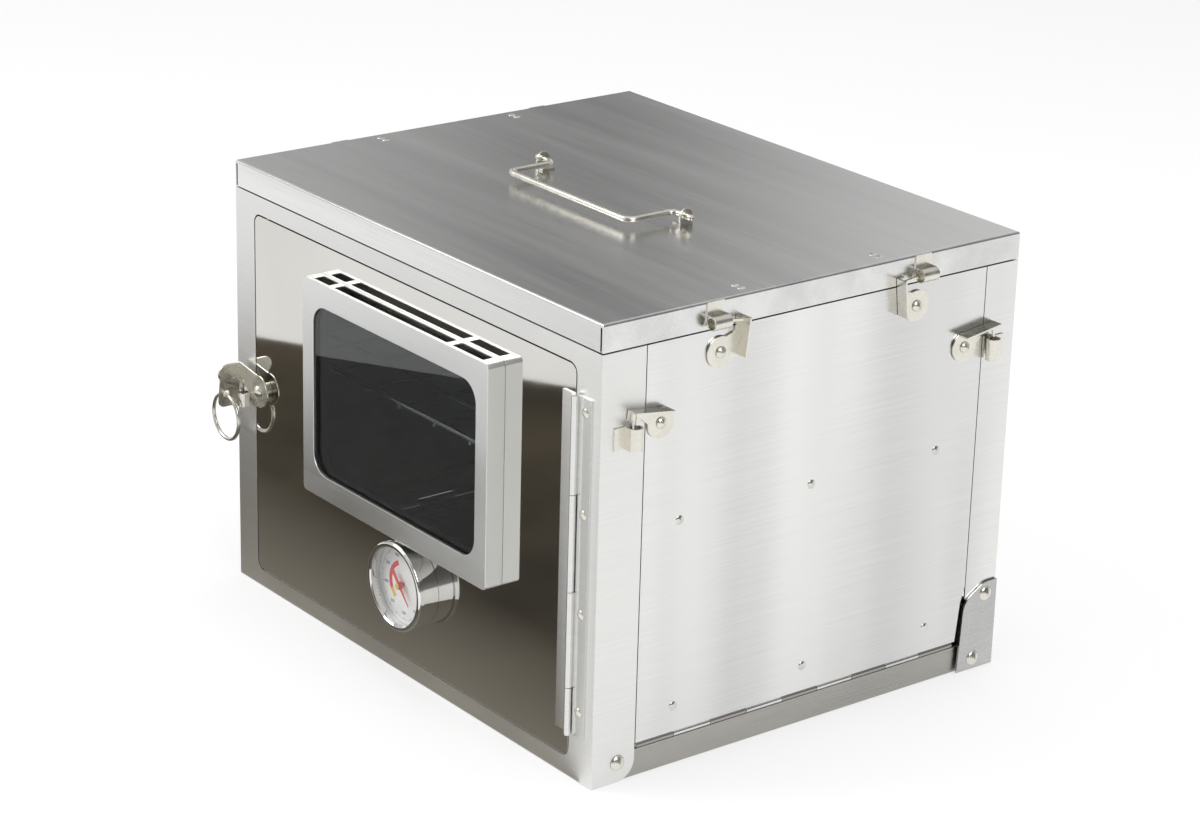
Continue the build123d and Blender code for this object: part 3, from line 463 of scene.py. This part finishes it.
def roundedSheet(node, radius):
    bm = mergedCopy(node)
    flat = math.radians(cutEdge["flatWithin"])
    bmesh.ops.dissolve_limit(bm, angle_limit=flat, verts=bm.verts, edges=bm.edges)
    mesh = bpy.data.meshes.new(node + "_sheet")
    bm.to_mesh(mesh)
    bm.free()
    piece = newPiece(node + "_sheet", mesh)
    bevel = piece.modifiers.new("cutEdge", "BEVEL")
    bevel.width = radius * mm
    bevel.segments = cutEdge["segments"]
    bevel.limit_method = "ANGLE"
    bevel.angle_limit = math.radians(cutEdge["sharpFrom"])
    bevel.miter_outer = "MITER_ARC"
    bakeModifiers(piece)
    return standFor(shadeFlatFaces(piece), node)


for node, radius in sheetEdges.items():
    roundedSheet(node, radius)
print("sheet metal rounded,", len(sheetEdges))


# rivets: a domed head, a shank and a flattened tail on every place (millimetres)
rivetSizes = {
    "front_pivot_rivets": {"head": 4.4, "rise": 2.6, "shank": 2.5, "tail": 3.6, "tailRise": 1.0},
    "rear_pivot_rivets": {"head": 4.4, "rise": 2.6, "shank": 2.5, "tail": 3.6, "tailRise": 1.0},
    "rear_foot_rivets": {"head": 4.4, "rise": 2.6, "shank": 2.5, "tail": 3.6, "tailRise": 1.0,
                         "collar": 4.4, "collarFrom": 1.2, "collarTo": 2.8},
    "door_hinge_rivets": {"head": 2.6, "rise": 1.1, "shank": 1.4, "tail": 2.4, "tailRise": 0.8},
    "latch_rivet": {"head": 3.6, "rise": 2.4, "shank": 1.5, "tail": 2.8, "tailRise": 0.8,
                    "collar": 4.5, "collarFrom": 1.3, "collarTo": 4.35},
    "lid_rivets": {"head": 2.2, "rise": 0.7, "shank": 1.4, "tail": 2.2, "tailRise": 1.0},
    "left_rail_rivets": {"head": 2.6, "rise": 1.0, "shank": 1.4, "tail": 2.4, "tailRise": 1.0},
    "right_rail_rivets": {"head": 2.6, "rise": 1.0, "shank": 1.4, "tail": 2.4, "tailRise": 1.0},
    "left_clip_rivets": {"head": 3.2, "rise": 2.2, "shank": 1.5, "tail": 2.6, "tailRise": 1.0},
    "right_clip_rivets": {"head": 3.2, "rise": 2.2, "shank": 1.5, "tail": 2.6, "tailRise": 1.0},
}


def turnedLength(tree, taken, start, end, radius, domed):
    # a rod from start to end along Z; a domed one closes in to a point at its end
    rings = 10 if domed else 2
    line = addNode(tree, "GeometryNodeCurvePrimitiveLine", {"Start": (0, 0, 0), "End": (0, 0, 1)}).outputs[0]
    line = addNode(tree, "GeometryNodeResampleCurve", {"Curve": line, "Count": rings}).outputs[0]
    along = addNode(tree, "GeometryNodeSplineParameter").outputs["Factor"]
    reach, width = along, radius
    if domed:
        turn = doMath(tree, "MULTIPLY", along, math.pi / 2)
        reach = doMath(tree, "SINE", turn)
        width = doMath(tree, "MULTIPLY", doMath(tree, "COSINE", turn), radius)
    height = doMath(tree, "ADD", doMath(tree, "MULTIPLY", reach, doMath(tree, "SUBTRACT", end, start)), start)
    raised = {"Geometry": line, "Position": combine(tree, z=height)}
    line = addNode(tree, "GeometryNodeSetPosition", raised).outputs[0]
    ring = unitRing(tree, taken["Sides"])
    solid = addNode(tree, "GeometryNodeCurveToMesh", {"Curve": line, "Profile Curve": ring, "Scale": width,
                                                      "Fill Caps": True}).outputs[0]
    return addNode(tree, "GeometryNodeMergeByDistance", {"Geometry": solid, "Distance": 1e-6}).outputs[0]


def makeRivetTree():
    tree, taken = startTree("rivetRow", {"Head Radius": 0.003, "Head Rise": 0.001, "Shank Radius": 0.002,
                                         "Grip": 0.003, "Tail Radius": 0.002, "Tail Rise": 0.001,
                                         "Collar Radius": 0.0, "Collar From": 0.0, "Collar To": 0.0,
                                         "Sides": 24})
    under = doMath(tree, "MULTIPLY", taken["Grip"], -1.0)
    tailEnd = doMath(tree, "SUBTRACT", under, taken["Tail Rise"])
    above = doMath(tree, "MULTIPLY", taken["Collar From"], -1.0)
    below = doMath(tree, "MULTIPLY", taken["Collar To"], -1.0)
    parts = [turnedLength(tree, taken, 0.0, taken["Head Rise"], taken["Head Radius"], True),
             turnedLength(tree, taken, under, 0.0, taken["Shank Radius"], False),
             turnedLength(tree, taken, under, tailEnd, taken["Tail Radius"], True)]
    collar = turnedLength(tree, taken, below, above, taken["Collar Radius"], False)
    wanted = addNode(tree, "FunctionNodeCompare", {0: taken["Collar Radius"], 1: 0.0},
                     operation="GREATER_THAN")
    parts.append(addNode(tree, "GeometryNodeSwitch", {"Switch": wanted.outputs[0], "True": collar},
                         input_type="GEOMETRY").outputs[0])
    joined = addNode(tree, "GeometryNodeJoinGeometry")
    for part in parts:
        tree.links.new(part, joined.inputs[0])
    rivet = softShade(tree, joined.outputs[0])
    facing = addNode(tree, "GeometryNodeInputNamedAttribute", {"Name": "facing"}, data_type="FLOAT_VECTOR")
    outward = {"Vector": facing.outputs[0]}
    turn = addNode(tree, "FunctionNodeAlignRotationToVector", outward, axis="Z").outputs[0]
    row = addNode(tree, "GeometryNodeInstanceOnPoints", {"Points": taken["Places"], "Instance": rivet,
                                                         "Rotation": turn}).outputs[0]
    endTree(tree, row, taken)
    return tree


def rivetRow(node, sizes, tree):
    boxes = islandBoxes(node)
    span = boxes[0][1] - boxes[0][0]
    square = [abs(span[(axis + 1) % 3] - span[(axis + 2) % 3]) for axis in range(3)]
    axis = square.index(min(square))
    places, facings = [], []
    for low, high in boxes:
        middle = (low + high) / 2
        outward = Vector((0, 0, 0))
        outward[axis] = 1.0 if axis == 2 or (axis == 0 and middle[0] > 0) else -1.0
        seat = middle.copy()
        seat[axis] = (high[axis] if outward[axis] > 0 else low[axis]) - outward[axis] * sizes["rise"] * mm
        places.append(seat)
        facings.append(outward)
    mesh = bpy.data.meshes.new(node + "_row")
    mesh.from_pydata(places, [], [])
    facing = mesh.attributes.new("facing", "FLOAT_VECTOR", "POINT")
    facing.data.foreach_set("vector", [part for outward in facings for part in outward])
    piece = newPiece(node + "_row", mesh)
    grip = span[axis] - (sizes["rise"] + sizes["tailRise"]) * mm
    lengths = {"Head Radius": "head", "Head Rise": "rise", "Shank Radius": "shank", "Tail Radius": "tail",
               "Tail Rise": "tailRise", "Collar Radius": "collar", "Collar From": "collarFrom",
               "Collar To": "collarTo"}
    values = {label: sizes.get(key, 0.0) * mm for label, key in lengths.items()}
    runTree(piece, tree, dict(values, Grip=grip), finishFor(node))
    return standFor(piece, node)


rivetTree = makeRivetTree()
for node, sizes in rivetSizes.items():
    rivetRow(node, sizes, rivetTree)
print("rivets set,", len(rivetSizes), "rows")


# wires: rods with rounded ends along lines, and closed loops (millimetres)
wireSides = 16
railing = {"rackBend": 8.0, "bailShoulder": 54.0, "bailBend": 5.0, "ringSegments": 56, "cornerSteps": 8}


def makeWireTree():
    tree, taken = startTree("bentWire", {"Wire Radius": 0.0015, "Sides": 16})
    line = addNode(tree, "GeometryNodeMeshToCurve", {"Mesh": taken["Places"]}).outputs[0]
    share = addNode(tree, "GeometryNodeInputNamedAttribute", {"Name": "share"}, data_type="FLOAT").outputs[0]
    width = doMath(tree, "MULTIPLY", share, taken["Wire Radius"])
    ring = unitRing(tree, taken["Sides"])
    wire = addNode(tree, "GeometryNodeCurveToMesh", {"Curve": line, "Profile Curve": ring, "Scale": width,
                                                     "Fill Caps": True}).outputs[0]
    endTree(tree, softShade(tree, wire, 50.0), taken)
    return tree


def roundedCorners(points, bend, closed):
    # arcs in place of the corners of a line
    steps = railing["cornerSteps"]
    count = len(points)
    path = []
    for index, corner in enumerate(points):
        if not closed and index in (0, count - 1):
            path.append(corner)
            continue
        back = (points[index - 1] - corner).normalized()
        ahead = (points[(index + 1) % count] - corner).normalized()
        half = back.angle(ahead) / 2
        centre = corner + (back + ahead).normalized() * bend / math.sin(half)
        start = corner + back * bend / math.tan(half)
        end = corner + ahead * bend / math.tan(half)
        for step in range(steps + 1):
            part = step / steps
            arm = (start - centre).normalized().slerp((end - centre).normalized(), part)
            path.append(centre + arm * bend)
    return path


def withRoundEnds(points, radius):
    # a short taper at both ends of an open line, as a cut wire has once it is tumbled
    ends = []
    for tip, inner in ((points[0], points[1]), (points[-1], points[-2])):
        inward = (inner - tip).normalized()
        ends.append([(tip, 0.45), (tip + inward * radius * 0.15, 0.72), (tip + inward * radius * 0.5, 0.93),
                     (tip + inward * radius, 1.0)])
    middle = [(point, 1.0) for point in points[1:-1]]
    return ends[0] + middle + ends[1][::-1]


def wirePiece(name, lines, radius, tree, material):
    # each line is (points with their share of the radius, closed or not)
    places, edges, shares = [], [], []
    for points, closed in lines:
        first = len(places)
        places += [point for point, share in points]
        shares += [share for point, share in points]
        edges += [(index, index + 1) for index in range(first, len(places) - 1)]
        if closed:
            edges.append((len(places) - 1, first))
    mesh = bpy.data.meshes.new(name)
    mesh.from_pydata(places, edges, [])
    mesh.attributes.new("share", "FLOAT", "POINT").data.foreach_set("value", shares)
    return runTree(newPiece(name, mesh), tree, {"Wire Radius": radius, "Sides": wireSides}, material)


def straightWires(node, tree):
    lines = []
    for low, high in islandBoxes(node):
        span = high - low
        axis = max(range(3), key=lambda part: span[part])
        radius = min(span) / 2
        start = (low + high) / 2
        end = start.copy()
        start[axis], end[axis] = low[axis], high[axis]
        lines.append((withRoundEnds([start, end], radius), False))
    return standFor(wirePiece(node + "_rods", lines, radius, tree, "rackChrome"), node)


def rackRing(tree):
    low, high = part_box("rack_frame")
    radius = (high[2] - low[2]) / 2
    level = (high[2] + low[2]) / 2
    left, right, front, rear = low[0] + radius, high[0] - radius, low[1] + radius, high[1] - radius
    corners = [Vector((x, y, level)) for x, y in ((left, front), (right, front), (right, rear), (left, rear))]
    path = [(point, 1.0) for point in roundedCorners(corners, railing["rackBend"] * mm, True)]
    return standFor(wirePiece("rackRing", [(path, True)], radius, tree, "rackChrome"), "rack_frame")


def lidBail(tree):
    low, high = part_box("handle_bail")
    radius = (high[2] - low[2]) / 2
    level = (high[2] + low[2]) / 2
    shoulder = railing["bailShoulder"] * mm
    pivot, grip = high[1] - radius, low[1] + radius
    corners = [Vector((x, y, level)) for x, y in ((low[0], pivot), (-shoulder, pivot), (-shoulder, grip),
                                                  (shoulder, grip), (shoulder, pivot), (high[0], pivot))]
    path = withRoundEnds(roundedCorners(corners, railing["bailBend"] * mm, False), radius)
    return standFor(wirePiece("lidBail", [(path, False)], radius, tree, "hardwareSteel"), "handle_bail")


def pullRing(tree):
    low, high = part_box("latch_ring")
    radius = (high[1] - low[1]) / 2
    centre = (Vector(low) + Vector(high)) / 2
    reach = (high[0] - low[0]) / 2 - radius
    turns = [2 * math.pi * step / railing["ringSegments"] for step in range(railing["ringSegments"])]
    path = [(centre + reach * Vector((math.cos(turn), 0, math.sin(turn))), 1.0) for turn in turns]
    return standFor(wirePiece("pullRing", [(path, True)], radius, tree, "hardwareSteel"), "latch_ring")


wireTree = makeWireTree()
straightWires("rack_wires", wireTree)
rackRing(wireTree)
lidBail(wireTree)
pullRing(wireTree)
print("wires bent")


# turned pieces of the thermometer and the hinge pins (millimetres)
gauge = {"sides": 96, "wall": 1.2, "floor": 5.0, "stem": 3.2, "lip": 1.0, "lensSeat": 22.0, "seam": 0.15,
         "rollHigh": 0.35, "pinSides": 20}


def turnedPiece(name, profile, centre, axis, sides):
    # profile is a closed outline of (radius, place along the axis), in metres
    bm = bmesh.new()
    rings = []
    for radius, along in profile:
        if radius < 1e-6:
            spot = Vector(centre)
            spot[axis] = along
            rings.append([bm.verts.new(spot)])
            continue
        ring = []
        for step in range(sides):
            turn = 2 * math.pi * step / sides
            spot = Vector(centre)
            spot[(axis + 1) % 3] += radius * math.cos(turn)
            spot[(axis + 2) % 3] += radius * math.sin(turn)
            spot[axis] = along
            ring.append(bm.verts.new(spot))
        rings.append(ring)
    for first, second in zip(rings, rings[1:] + rings[:1]):
        if len(first) == 1 and len(second) == 1:
            continue
        for step in range(sides):
            ahead = (step + 1) % sides
            corners = [first[step % len(first)], first[ahead % len(first)], second[ahead % len(second)],
                       second[step % len(second)]]
            bm.faces.new(list(dict.fromkeys(corners)))
    piece = pieceFromBmesh(name, bm)
    return shadeFlatFaces(piece, 24)


def gaugeSpot():
    low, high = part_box("gauge_case")
    return Vector(((low[0] + high[0]) / 2, 0, (low[2] + high[2]) / 2))


def gaugeProfile(node):
    low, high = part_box(node)
    return (high[0] - low[0]) / 2, low[1], high[1]


def turnGauge():
    spot = gaugeSpot()
    radius, front, back = gaugeProfile("gauge_case")
    wall, floor, stem, seam = (gauge[key] * mm for key in ("wall", "floor", "stem", "seam"))
    case = [(stem, back), (radius - 2 * seam, back), (radius, back - 2 * seam), (radius, front + seam),
            (radius - seam, front), (radius - wall, front), (radius - wall, back - floor),
            (stem, back - floor)]
    standFor(turnedPiece("gaugeCup", case, spot, 1, gauge["sides"]), "gauge_case")

    radius, front, back = gaugeProfile("gauge_bezel")
    caseRadius = gaugeProfile("gauge_case")[0]
    seat, lip, high = gauge["lensSeat"] * mm, gauge["lip"] * mm, gauge["rollHigh"] * mm
    roll = [(radius, back - seam), (radius, front + 4 * high)]
    for step in range(1, 7):
        turn = math.pi / 2 * step / 6
        roll.append((radius - 4 * high * (1 - math.cos(turn)), front + 4 * high * (1 - math.sin(turn))))
    roll += [(seat + 2 * high, front + 0.3 * high), (seat + high, front + high), (seat, front + 2.2 * high),
             (seat, front + lip), (caseRadius, front + lip), (caseRadius, back), (radius - seam, back)]
    standFor(turnedPiece("gaugeRim", roll, spot, 1, gauge["sides"]), "gauge_bezel")

    radius, front, back = gaugeProfile("gauge_lens")
    lens = [(0, front), (radius - seam, front), (radius, front + seam), (radius, back - seam),
            (radius - seam, back), (0, back)]
    standFor(turnedPiece("gaugeGlass", lens, spot, 1, gauge["sides"]), "gauge_lens")
    print("thermometer turned")


# hinge pins: both ends are upset, with a small slope at the rim
hingePins = {
    "side_hinge_pins": {"shank": 0.7, "upset": 0.4, "axis": 1},
    "door_hinge_pin": {"shank": 0.95, "upset": 0.6, "axis": 2},
}
pinSlope = 0.3  # of the upset


def turnPins():
    for node, pin in hingePins.items():
        axis = pin["axis"]
        upset, shank = pin["upset"] * mm, pin["shank"] * mm
        slope = pinSlope * upset
        pins = []
        for index, (low, high) in enumerate(islandBoxes(node)):
            middle = (low + high) / 2
            head = (high[0] - low[0]) / 2
            start, end = low[axis], high[axis]
            outline = [(0, start), (head - slope, start), (head, start + slope), (head, start + upset),
                       (shank, start + upset), (shank, end - upset), (head, end - upset), (head, end - slope),
                       (head - slope, end), (0, end)]
            pins.append(turnedPiece(f"{node}_{index}", outline, middle, axis, gauge["pinSides"]))
        for other in pins[1:]:
            bm = bmesh.new()
            bm.from_mesh(pins[0].data)
            bm.from_mesh(other.data)
            bm.to_mesh(pins[0].data)
            bm.free()
            bpy.data.objects.remove(other)
        standFor(pins[0], node)


turnGauge()
turnPins()


# the dial: ticks, plain numbers, a red arc and a brass cap (angles in degrees, millimetres)
dial = {"cold": 32.0, "sweep": 280.0, "smallTicks": 71, "longTicks": 15, "edge": 20.6,
        "small": (0.9, 0.14), "long": (1.7, 0.26), "ink": 0.06, "numbers": 8, "step": 50, "numberEdge": 16.6,
        "numberSize": 2.5, "red": (112.0, 206.0), "amber": (206.0, 232.0), "arc": (10.6, 13.4),
        "arcSteps": 40, "cap": (1.7, 0.5), "capSteps": 5, "capSides": 32}


def makeMarkTree():
    tree, taken = startTree("dialMarks", {"Count": 10, "Edge": 0.02, "Length": 0.001, "Width": 0.0002,
                                          "Ink": 0.00006, "Start Angle": 0.0, "Sweep": 1.0})
    row = addNode(tree, "GeometryNodeMeshLine", {"Count": taken["Count"]}, mode="OFFSET").outputs[0]
    last = doMath(tree, "SUBTRACT", taken["Count"], 1.0)
    part = doMath(tree, "DIVIDE", addNode(tree, "GeometryNodeInputIndex").outputs[0], last)
    angle = doMath(tree, "SUBTRACT", taken["Start Angle"], doMath(tree, "MULTIPLY", part, taken["Sweep"]))
    reach = doMath(tree, "SUBTRACT", taken["Edge"], doMath(tree, "MULTIPLY", taken["Length"], 0.5))
    across = doMath(tree, "MULTIPLY", doMath(tree, "COSINE", angle), reach)
    up = doMath(tree, "MULTIPLY", doMath(tree, "SINE", angle), reach)
    spots = {"Geometry": row, "Position": combine(tree, x=across, z=up)}
    row = addNode(tree, "GeometryNodeSetPosition", spots)
    size = combine(tree, taken["Length"], taken["Ink"], taken["Width"])
    mark = addNode(tree, "GeometryNodeMeshCube", {"Size": size}).outputs[0]
    turn = combine(tree, y=doMath(tree, "MULTIPLY", angle, -1.0))
    marks = addNode(tree, "GeometryNodeInstanceOnPoints", {"Points": row.outputs[0], "Instance": mark,
                                                           "Rotation": turn}).outputs[0]
    endTree(tree, marks, taken)
    return tree


def shifted(piece, offset):
    piece.data.transform(Matrix.Translation(offset))
    return piece


def dialMarks(name, tree, count, size, place):
    marks = newPiece(name, bpy.data.meshes.new(name))
    sizes = {"Count": count, "Edge": dial["edge"] * mm, "Length": size[0] * mm, "Width": size[1] * mm,
             "Ink": dial["ink"] * mm, "Start Angle": math.radians(dial["cold"]),
             "Sweep": math.radians(dial["sweep"])}
    return addTo(shifted(runTree(marks, tree, sizes, "dialInk"), place), "gauge_dial", "dialInk")


def dialArc(name, angles, place, material):
    inner, outer = dial["arc"][0] * mm, dial["arc"][1] * mm
    half = dial["ink"] * mm / 2
    bm = bmesh.new()
    rows = []
    for step in range(dial["arcSteps"] + 1):
        turn = math.radians(angles[0] + (angles[1] - angles[0]) * step / dial["arcSteps"])
        side = Vector((math.cos(turn), 0, math.sin(turn)))
        rows.append([bm.verts.new(side * radius + Vector((0, depth, 0)))
                     for radius, depth in ((inner, -half), (outer, -half), (outer, half), (inner, half))])
    for first, second in zip(rows, rows[1:]):
        for index in range(4):
            ahead = (index + 1) % 4
            bm.faces.new((first[index], first[ahead], second[ahead], second[index]))
    bm.faces.new(rows[0])
    bm.faces.new(rows[-1])
    return addTo(shifted(pieceFromBmesh(name, bm), place), "gauge_dial", material)


def dialNumbers(place):
    bm = bmesh.new()
    for index in range(dial["numbers"]):
        letters = bpy.data.curves.new("number", "FONT")
        letters.body = str((index + 1) * dial["step"])
        letters.size = dial["numberSize"] * mm
        letters.align_x = "CENTER"
        letters.align_y = "CENTER"
        letters.extrude = dial["ink"] * mm / 2
        holder = newPiece("number", letters)
        flat = bpy.data.meshes.new_from_object(holder.evaluated_get(bpy.context.evaluated_depsgraph_get()))
        turn = math.radians(dial["cold"] - dial["sweep"] * index / (dial["numbers"] - 1))
        spot = Vector((math.cos(turn), 0, math.sin(turn))) * dial["numberEdge"] * mm + place
        flat.transform(Matrix.Translation(spot) @ Matrix.Rotation(math.pi / 2, 4, "X"))
        bm.from_mesh(flat)
        bpy.data.objects.remove(holder)
    bmesh.ops.remove_doubles(bm, verts=bm.verts, dist=1e-7)
    return addTo(pieceFromBmesh("dialNumbers", bm), "gauge_dial", "dialInk")


def dressDial():
    place = gaugeSpot()
    place.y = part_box("gauge_dial")[0][1] - dial["ink"] * mm / 2
    tree = makeMarkTree()
    dialMarks("dialSmallTicks", tree, dial["smallTicks"], dial["small"], place)
    dialMarks("dialLongTicks", tree, dial["longTicks"], dial["long"], place)
    dialArc("dialRedArc", dial["red"], place, "needleRed")
    dialArc("dialAmberArc", dial["amber"], place, "pivotBrass")
    dialNumbers(place)
    radius, rise = dial["cap"][0] * mm, dial["cap"][1] * mm
    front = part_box("gauge_stem")[0][1]
    outline = [(0, front), (radius, front)]
    for step in range(1, dial["capSteps"] + 1):
        turn = math.pi / 2 * step / dial["capSteps"]
        outline.append((radius * math.cos(turn), front - rise * math.sin(turn)))
    outline[-1] = (0, front - rise)
    cap = turnedPiece("pivotCap", outline, gaugeSpot(), 1, dial["capSides"])
    addTo(cap, "gauge_stem", "pivotBrass")
    print("dial dressed")


dressDial()


# the CAD nodes that stay get their finish
for node, piece in nodes.items():
    setFinish(piece, finishFor(node))


# floor, lights, camera
studio = {
    "floorSize": 14.0, "floorDrop": 0.0003, "floorTones": (0.86, 0.89), "floorGlow": 0.60,
    "aim": (0, 0, 0.12),
    "skyStops": [(0.0, 0.75), (0.25, 0.60), (0.60, 0.55), (1.0, 0.85)],
    # each patch: direction, cosine at its rim, cosine at its core, tone added
    "skyPatches": [((-0.75, 0.59, 0.29), 0.93, 0.99, -0.48), ((-0.59, 0.755, 0.29), 0.965, 0.995, 0.70),
                   ((-0.88, 0.39, 0.27), 0.965, 0.99, 0.40), ((0.74, -0.58, 0.35), 0.60, 0.90, -0.45),
                   ((0.85, 0.42, 0.30), 0.80, 0.95, -0.45)],
    # each lamp: name, place, size, power, whether polished sheet mirrors it
    "lamps": [
        ("keyBox", (-1.5, -1.7, 1.9), 1.5, 34.0, True),
        ("sideBox", (2.0, -0.3, 1.7), 1.3, 24.0, True),
        ("topBox", (0.1, 0.3, 2.2), 1.8, 22.0, False),
    ],
}
# painted reflection: a dark glowing card that the mirror door faces, seen only in reflections
paintedReflectionCard = {"outline": ((-0.952, -0.105), (-0.307, -0.498), (0.16, -0.14), (0.16, -0.105)), "height": 0.0004,
             "tone": (0.050, 0.046, 0.038), "brown": (0.115, 0.096, 0.070), "foot": (0.30, 0.28, 0.24),
             "footFrom": -0.24, "footTo": -0.12}
view = {"place": (1.3770, -1.0804, 0.7789), "azimuth": 52.1, "elevation": 20.55, "roll": 1.55, "lens": 100.0}


def addFloor():
    half = studio["floorSize"] / 2
    bm = bmesh.new()
    corners = [bm.verts.new((x, y, -studio["floorDrop"])) for x, y in ((-half, -half), (half, -half),
                                                                       (half, half), (-half, half))]
    bm.faces.new(corners)
    floor = pieceFromBmesh("floor", bm)
    material, tree = startMaterial("floorPaper")
    low, high = studio["floorTones"]
    tone = blendColours(tree, noise(tree, (3, 3, 3)), (low,) * 3, (high,) * 3)
    paper = addNode(tree, "ShaderNodeBsdfDiffuse", {"Color": tone})
    glow = addNode(tree, "ShaderNodeEmission", {"Color": (1, 1, 1, 1), "Strength": 1.0})
    path = addNode(tree, "ShaderNodeLightPath").outputs
    seen = doMath(tree, "ADD", path["Is Camera Ray"], path["Is Glossy Ray"])
    seen = doMath(tree, "ADD", seen, path["Is Transmission Ray"])
    share = doMath(tree, "MULTIPLY", seen, studio["floorGlow"], clamp=True)
    mix = addNode(tree, "ShaderNodeMixShader", {0: share, 1: paper.outputs["BSDF"],
                                                2: glow.outputs["Emission"]})
    endMaterial(tree, mix.outputs["Shader"])
    floor.data.materials.append(material)
    floor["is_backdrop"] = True


def addPaintedReflectionCard():
    bm = bmesh.new()
    bm.faces.new([bm.verts.new((x, y, paintedReflectionCard["height"])) for x, y in paintedReflectionCard["outline"]])
    card = pieceFromBmesh("paintedReflectionCard", bm)
    material, tree = startMaterial("paintedReflectionCardTop")
    cloud = spread(tree, noise(tree, (5, 5, 5), 4.0), 0, 1)
    tone = blendColours(tree, cloud, paintedReflectionCard["tone"], paintedReflectionCard["brown"])
    # painted reflection: the card is lighter near the door's foot
    depth = addNode(tree, "ShaderNodeSeparateXYZ", {"Vector": objectPlace(tree)}).outputs["Y"]
    near = spread(tree, depth, 0, 1, paintedReflectionCard["footFrom"], paintedReflectionCard["footTo"])
    blend = addNode(tree, "ShaderNodeMix", {0: near, 6: tone}, data_type="RGBA")
    blend.inputs[7].default_value = (*paintedReflectionCard["foot"], 1)
    # the card glows with its painted colour, though it is no lamp
    top = addNode(tree, "ShaderNodeEmission", {"Color": blend.outputs[2], "Strength": 1.0})
    endMaterial(tree, top.outputs["Emission"])
    card.data.materials.append(material)
    card.visible_camera = False
    card.visible_diffuse = False
    card.visible_shadow = False
    card.visible_transmission = False
    card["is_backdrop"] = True


def addLamps():
    for name, place, size, power, mirrored in studio["lamps"]:
        lamp = bpy.data.lights.new(name, "AREA")
        lamp.shape = "SQUARE"
        lamp.size = size
        lamp.energy = power
        holder = bpy.data.objects.new(name, lamp)
        holder.location = place
        holder.visible_glossy = mirrored
        holder.rotation_euler = (Vector(studio["aim"]) - Vector(place)).to_track_quat("-Z", "Y").to_euler()
        bpy.context.scene.collection.objects.link(holder)


def addSky():
    world = bpy.data.worlds.new("studioSky")
    bpy.context.scene.world = world
    world.use_nodes = True
    tree = world.node_tree
    tree.nodes.clear()
    toward = addNode(tree, "ShaderNodeTexCoord").outputs["Generated"]
    rise = addNode(tree, "ShaderNodeSeparateXYZ", {"Vector": toward}).outputs["Z"]
    ramp = addNode(tree, "ShaderNodeValToRGB", {"Fac": rise})
    stops = studio["skyStops"]
    while len(ramp.color_ramp.elements) < len(stops):
        ramp.color_ramp.elements.new(0.5)
    for element, (place, tone) in zip(ramp.color_ramp.elements, stops):
        element.position = place
        element.color = (tone, tone, tone, 1)
    light = addNode(tree, "ShaderNodeRGBToBW", {"Color": ramp.outputs["Color"]}).outputs[0]
    for side, rim, core, more in studio["skyPatches"]:
        near = addNode(tree, "ShaderNodeVectorMath", {0: toward, 1: Vector(side).normalized()},
                       operation="DOT_PRODUCT").outputs["Value"]
        reach = {"Value": near, "From Min": rim, "From Max": core, "To Min": 0.0, "To Max": more}
        patch = addNode(tree, "ShaderNodeMapRange", reach, interpolation_type="SMOOTHSTEP")
        light = doMath(tree, "ADD", light, patch.outputs["Result"])
    room = addNode(tree, "ShaderNodeBackground", {"Color": light, "Strength": 1.0})
    paper = addNode(tree, "ShaderNodeBackground", {"Color": (1, 1, 1, 1), "Strength": 1.0})
    path = addNode(tree, "ShaderNodeLightPath")
    mix = addNode(tree, "ShaderNodeMixShader", {0: path.outputs["Is Camera Ray"],
                                                1: room.outputs["Background"],
                                                2: paper.outputs["Background"]})
    output = addNode(tree, "ShaderNodeOutputWorld")
    tree.links.new(mix.outputs["Shader"], output.inputs["Surface"])


def addCamera():
    lens = bpy.data.cameras.new("camera")
    lens.sensor_width = 36.0
    lens.lens = view["lens"]
    camera = bpy.data.objects.new("camera", lens)
    bpy.context.scene.collection.objects.link(camera)
    turn, tilt, roll = (math.radians(view[key]) for key in ("azimuth", "elevation", "roll"))
    camera.matrix_world = (Matrix.Translation(view["place"]) @ Matrix.Rotation(turn, 4, "Z")
                           @ Matrix.Rotation(math.pi / 2 - tilt, 4, "X") @ Matrix.Rotation(roll, 4, "Z"))
    bpy.context.scene.camera = camera


addFloor()
addPaintedReflectionCard()
addLamps()
addSky()
addCamera()
bpy.context.scene.view_settings.view_transform = "Standard"
print("studio ready")

sizes = {"cad": cadBounds, "visual": [list(corner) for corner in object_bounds()]}
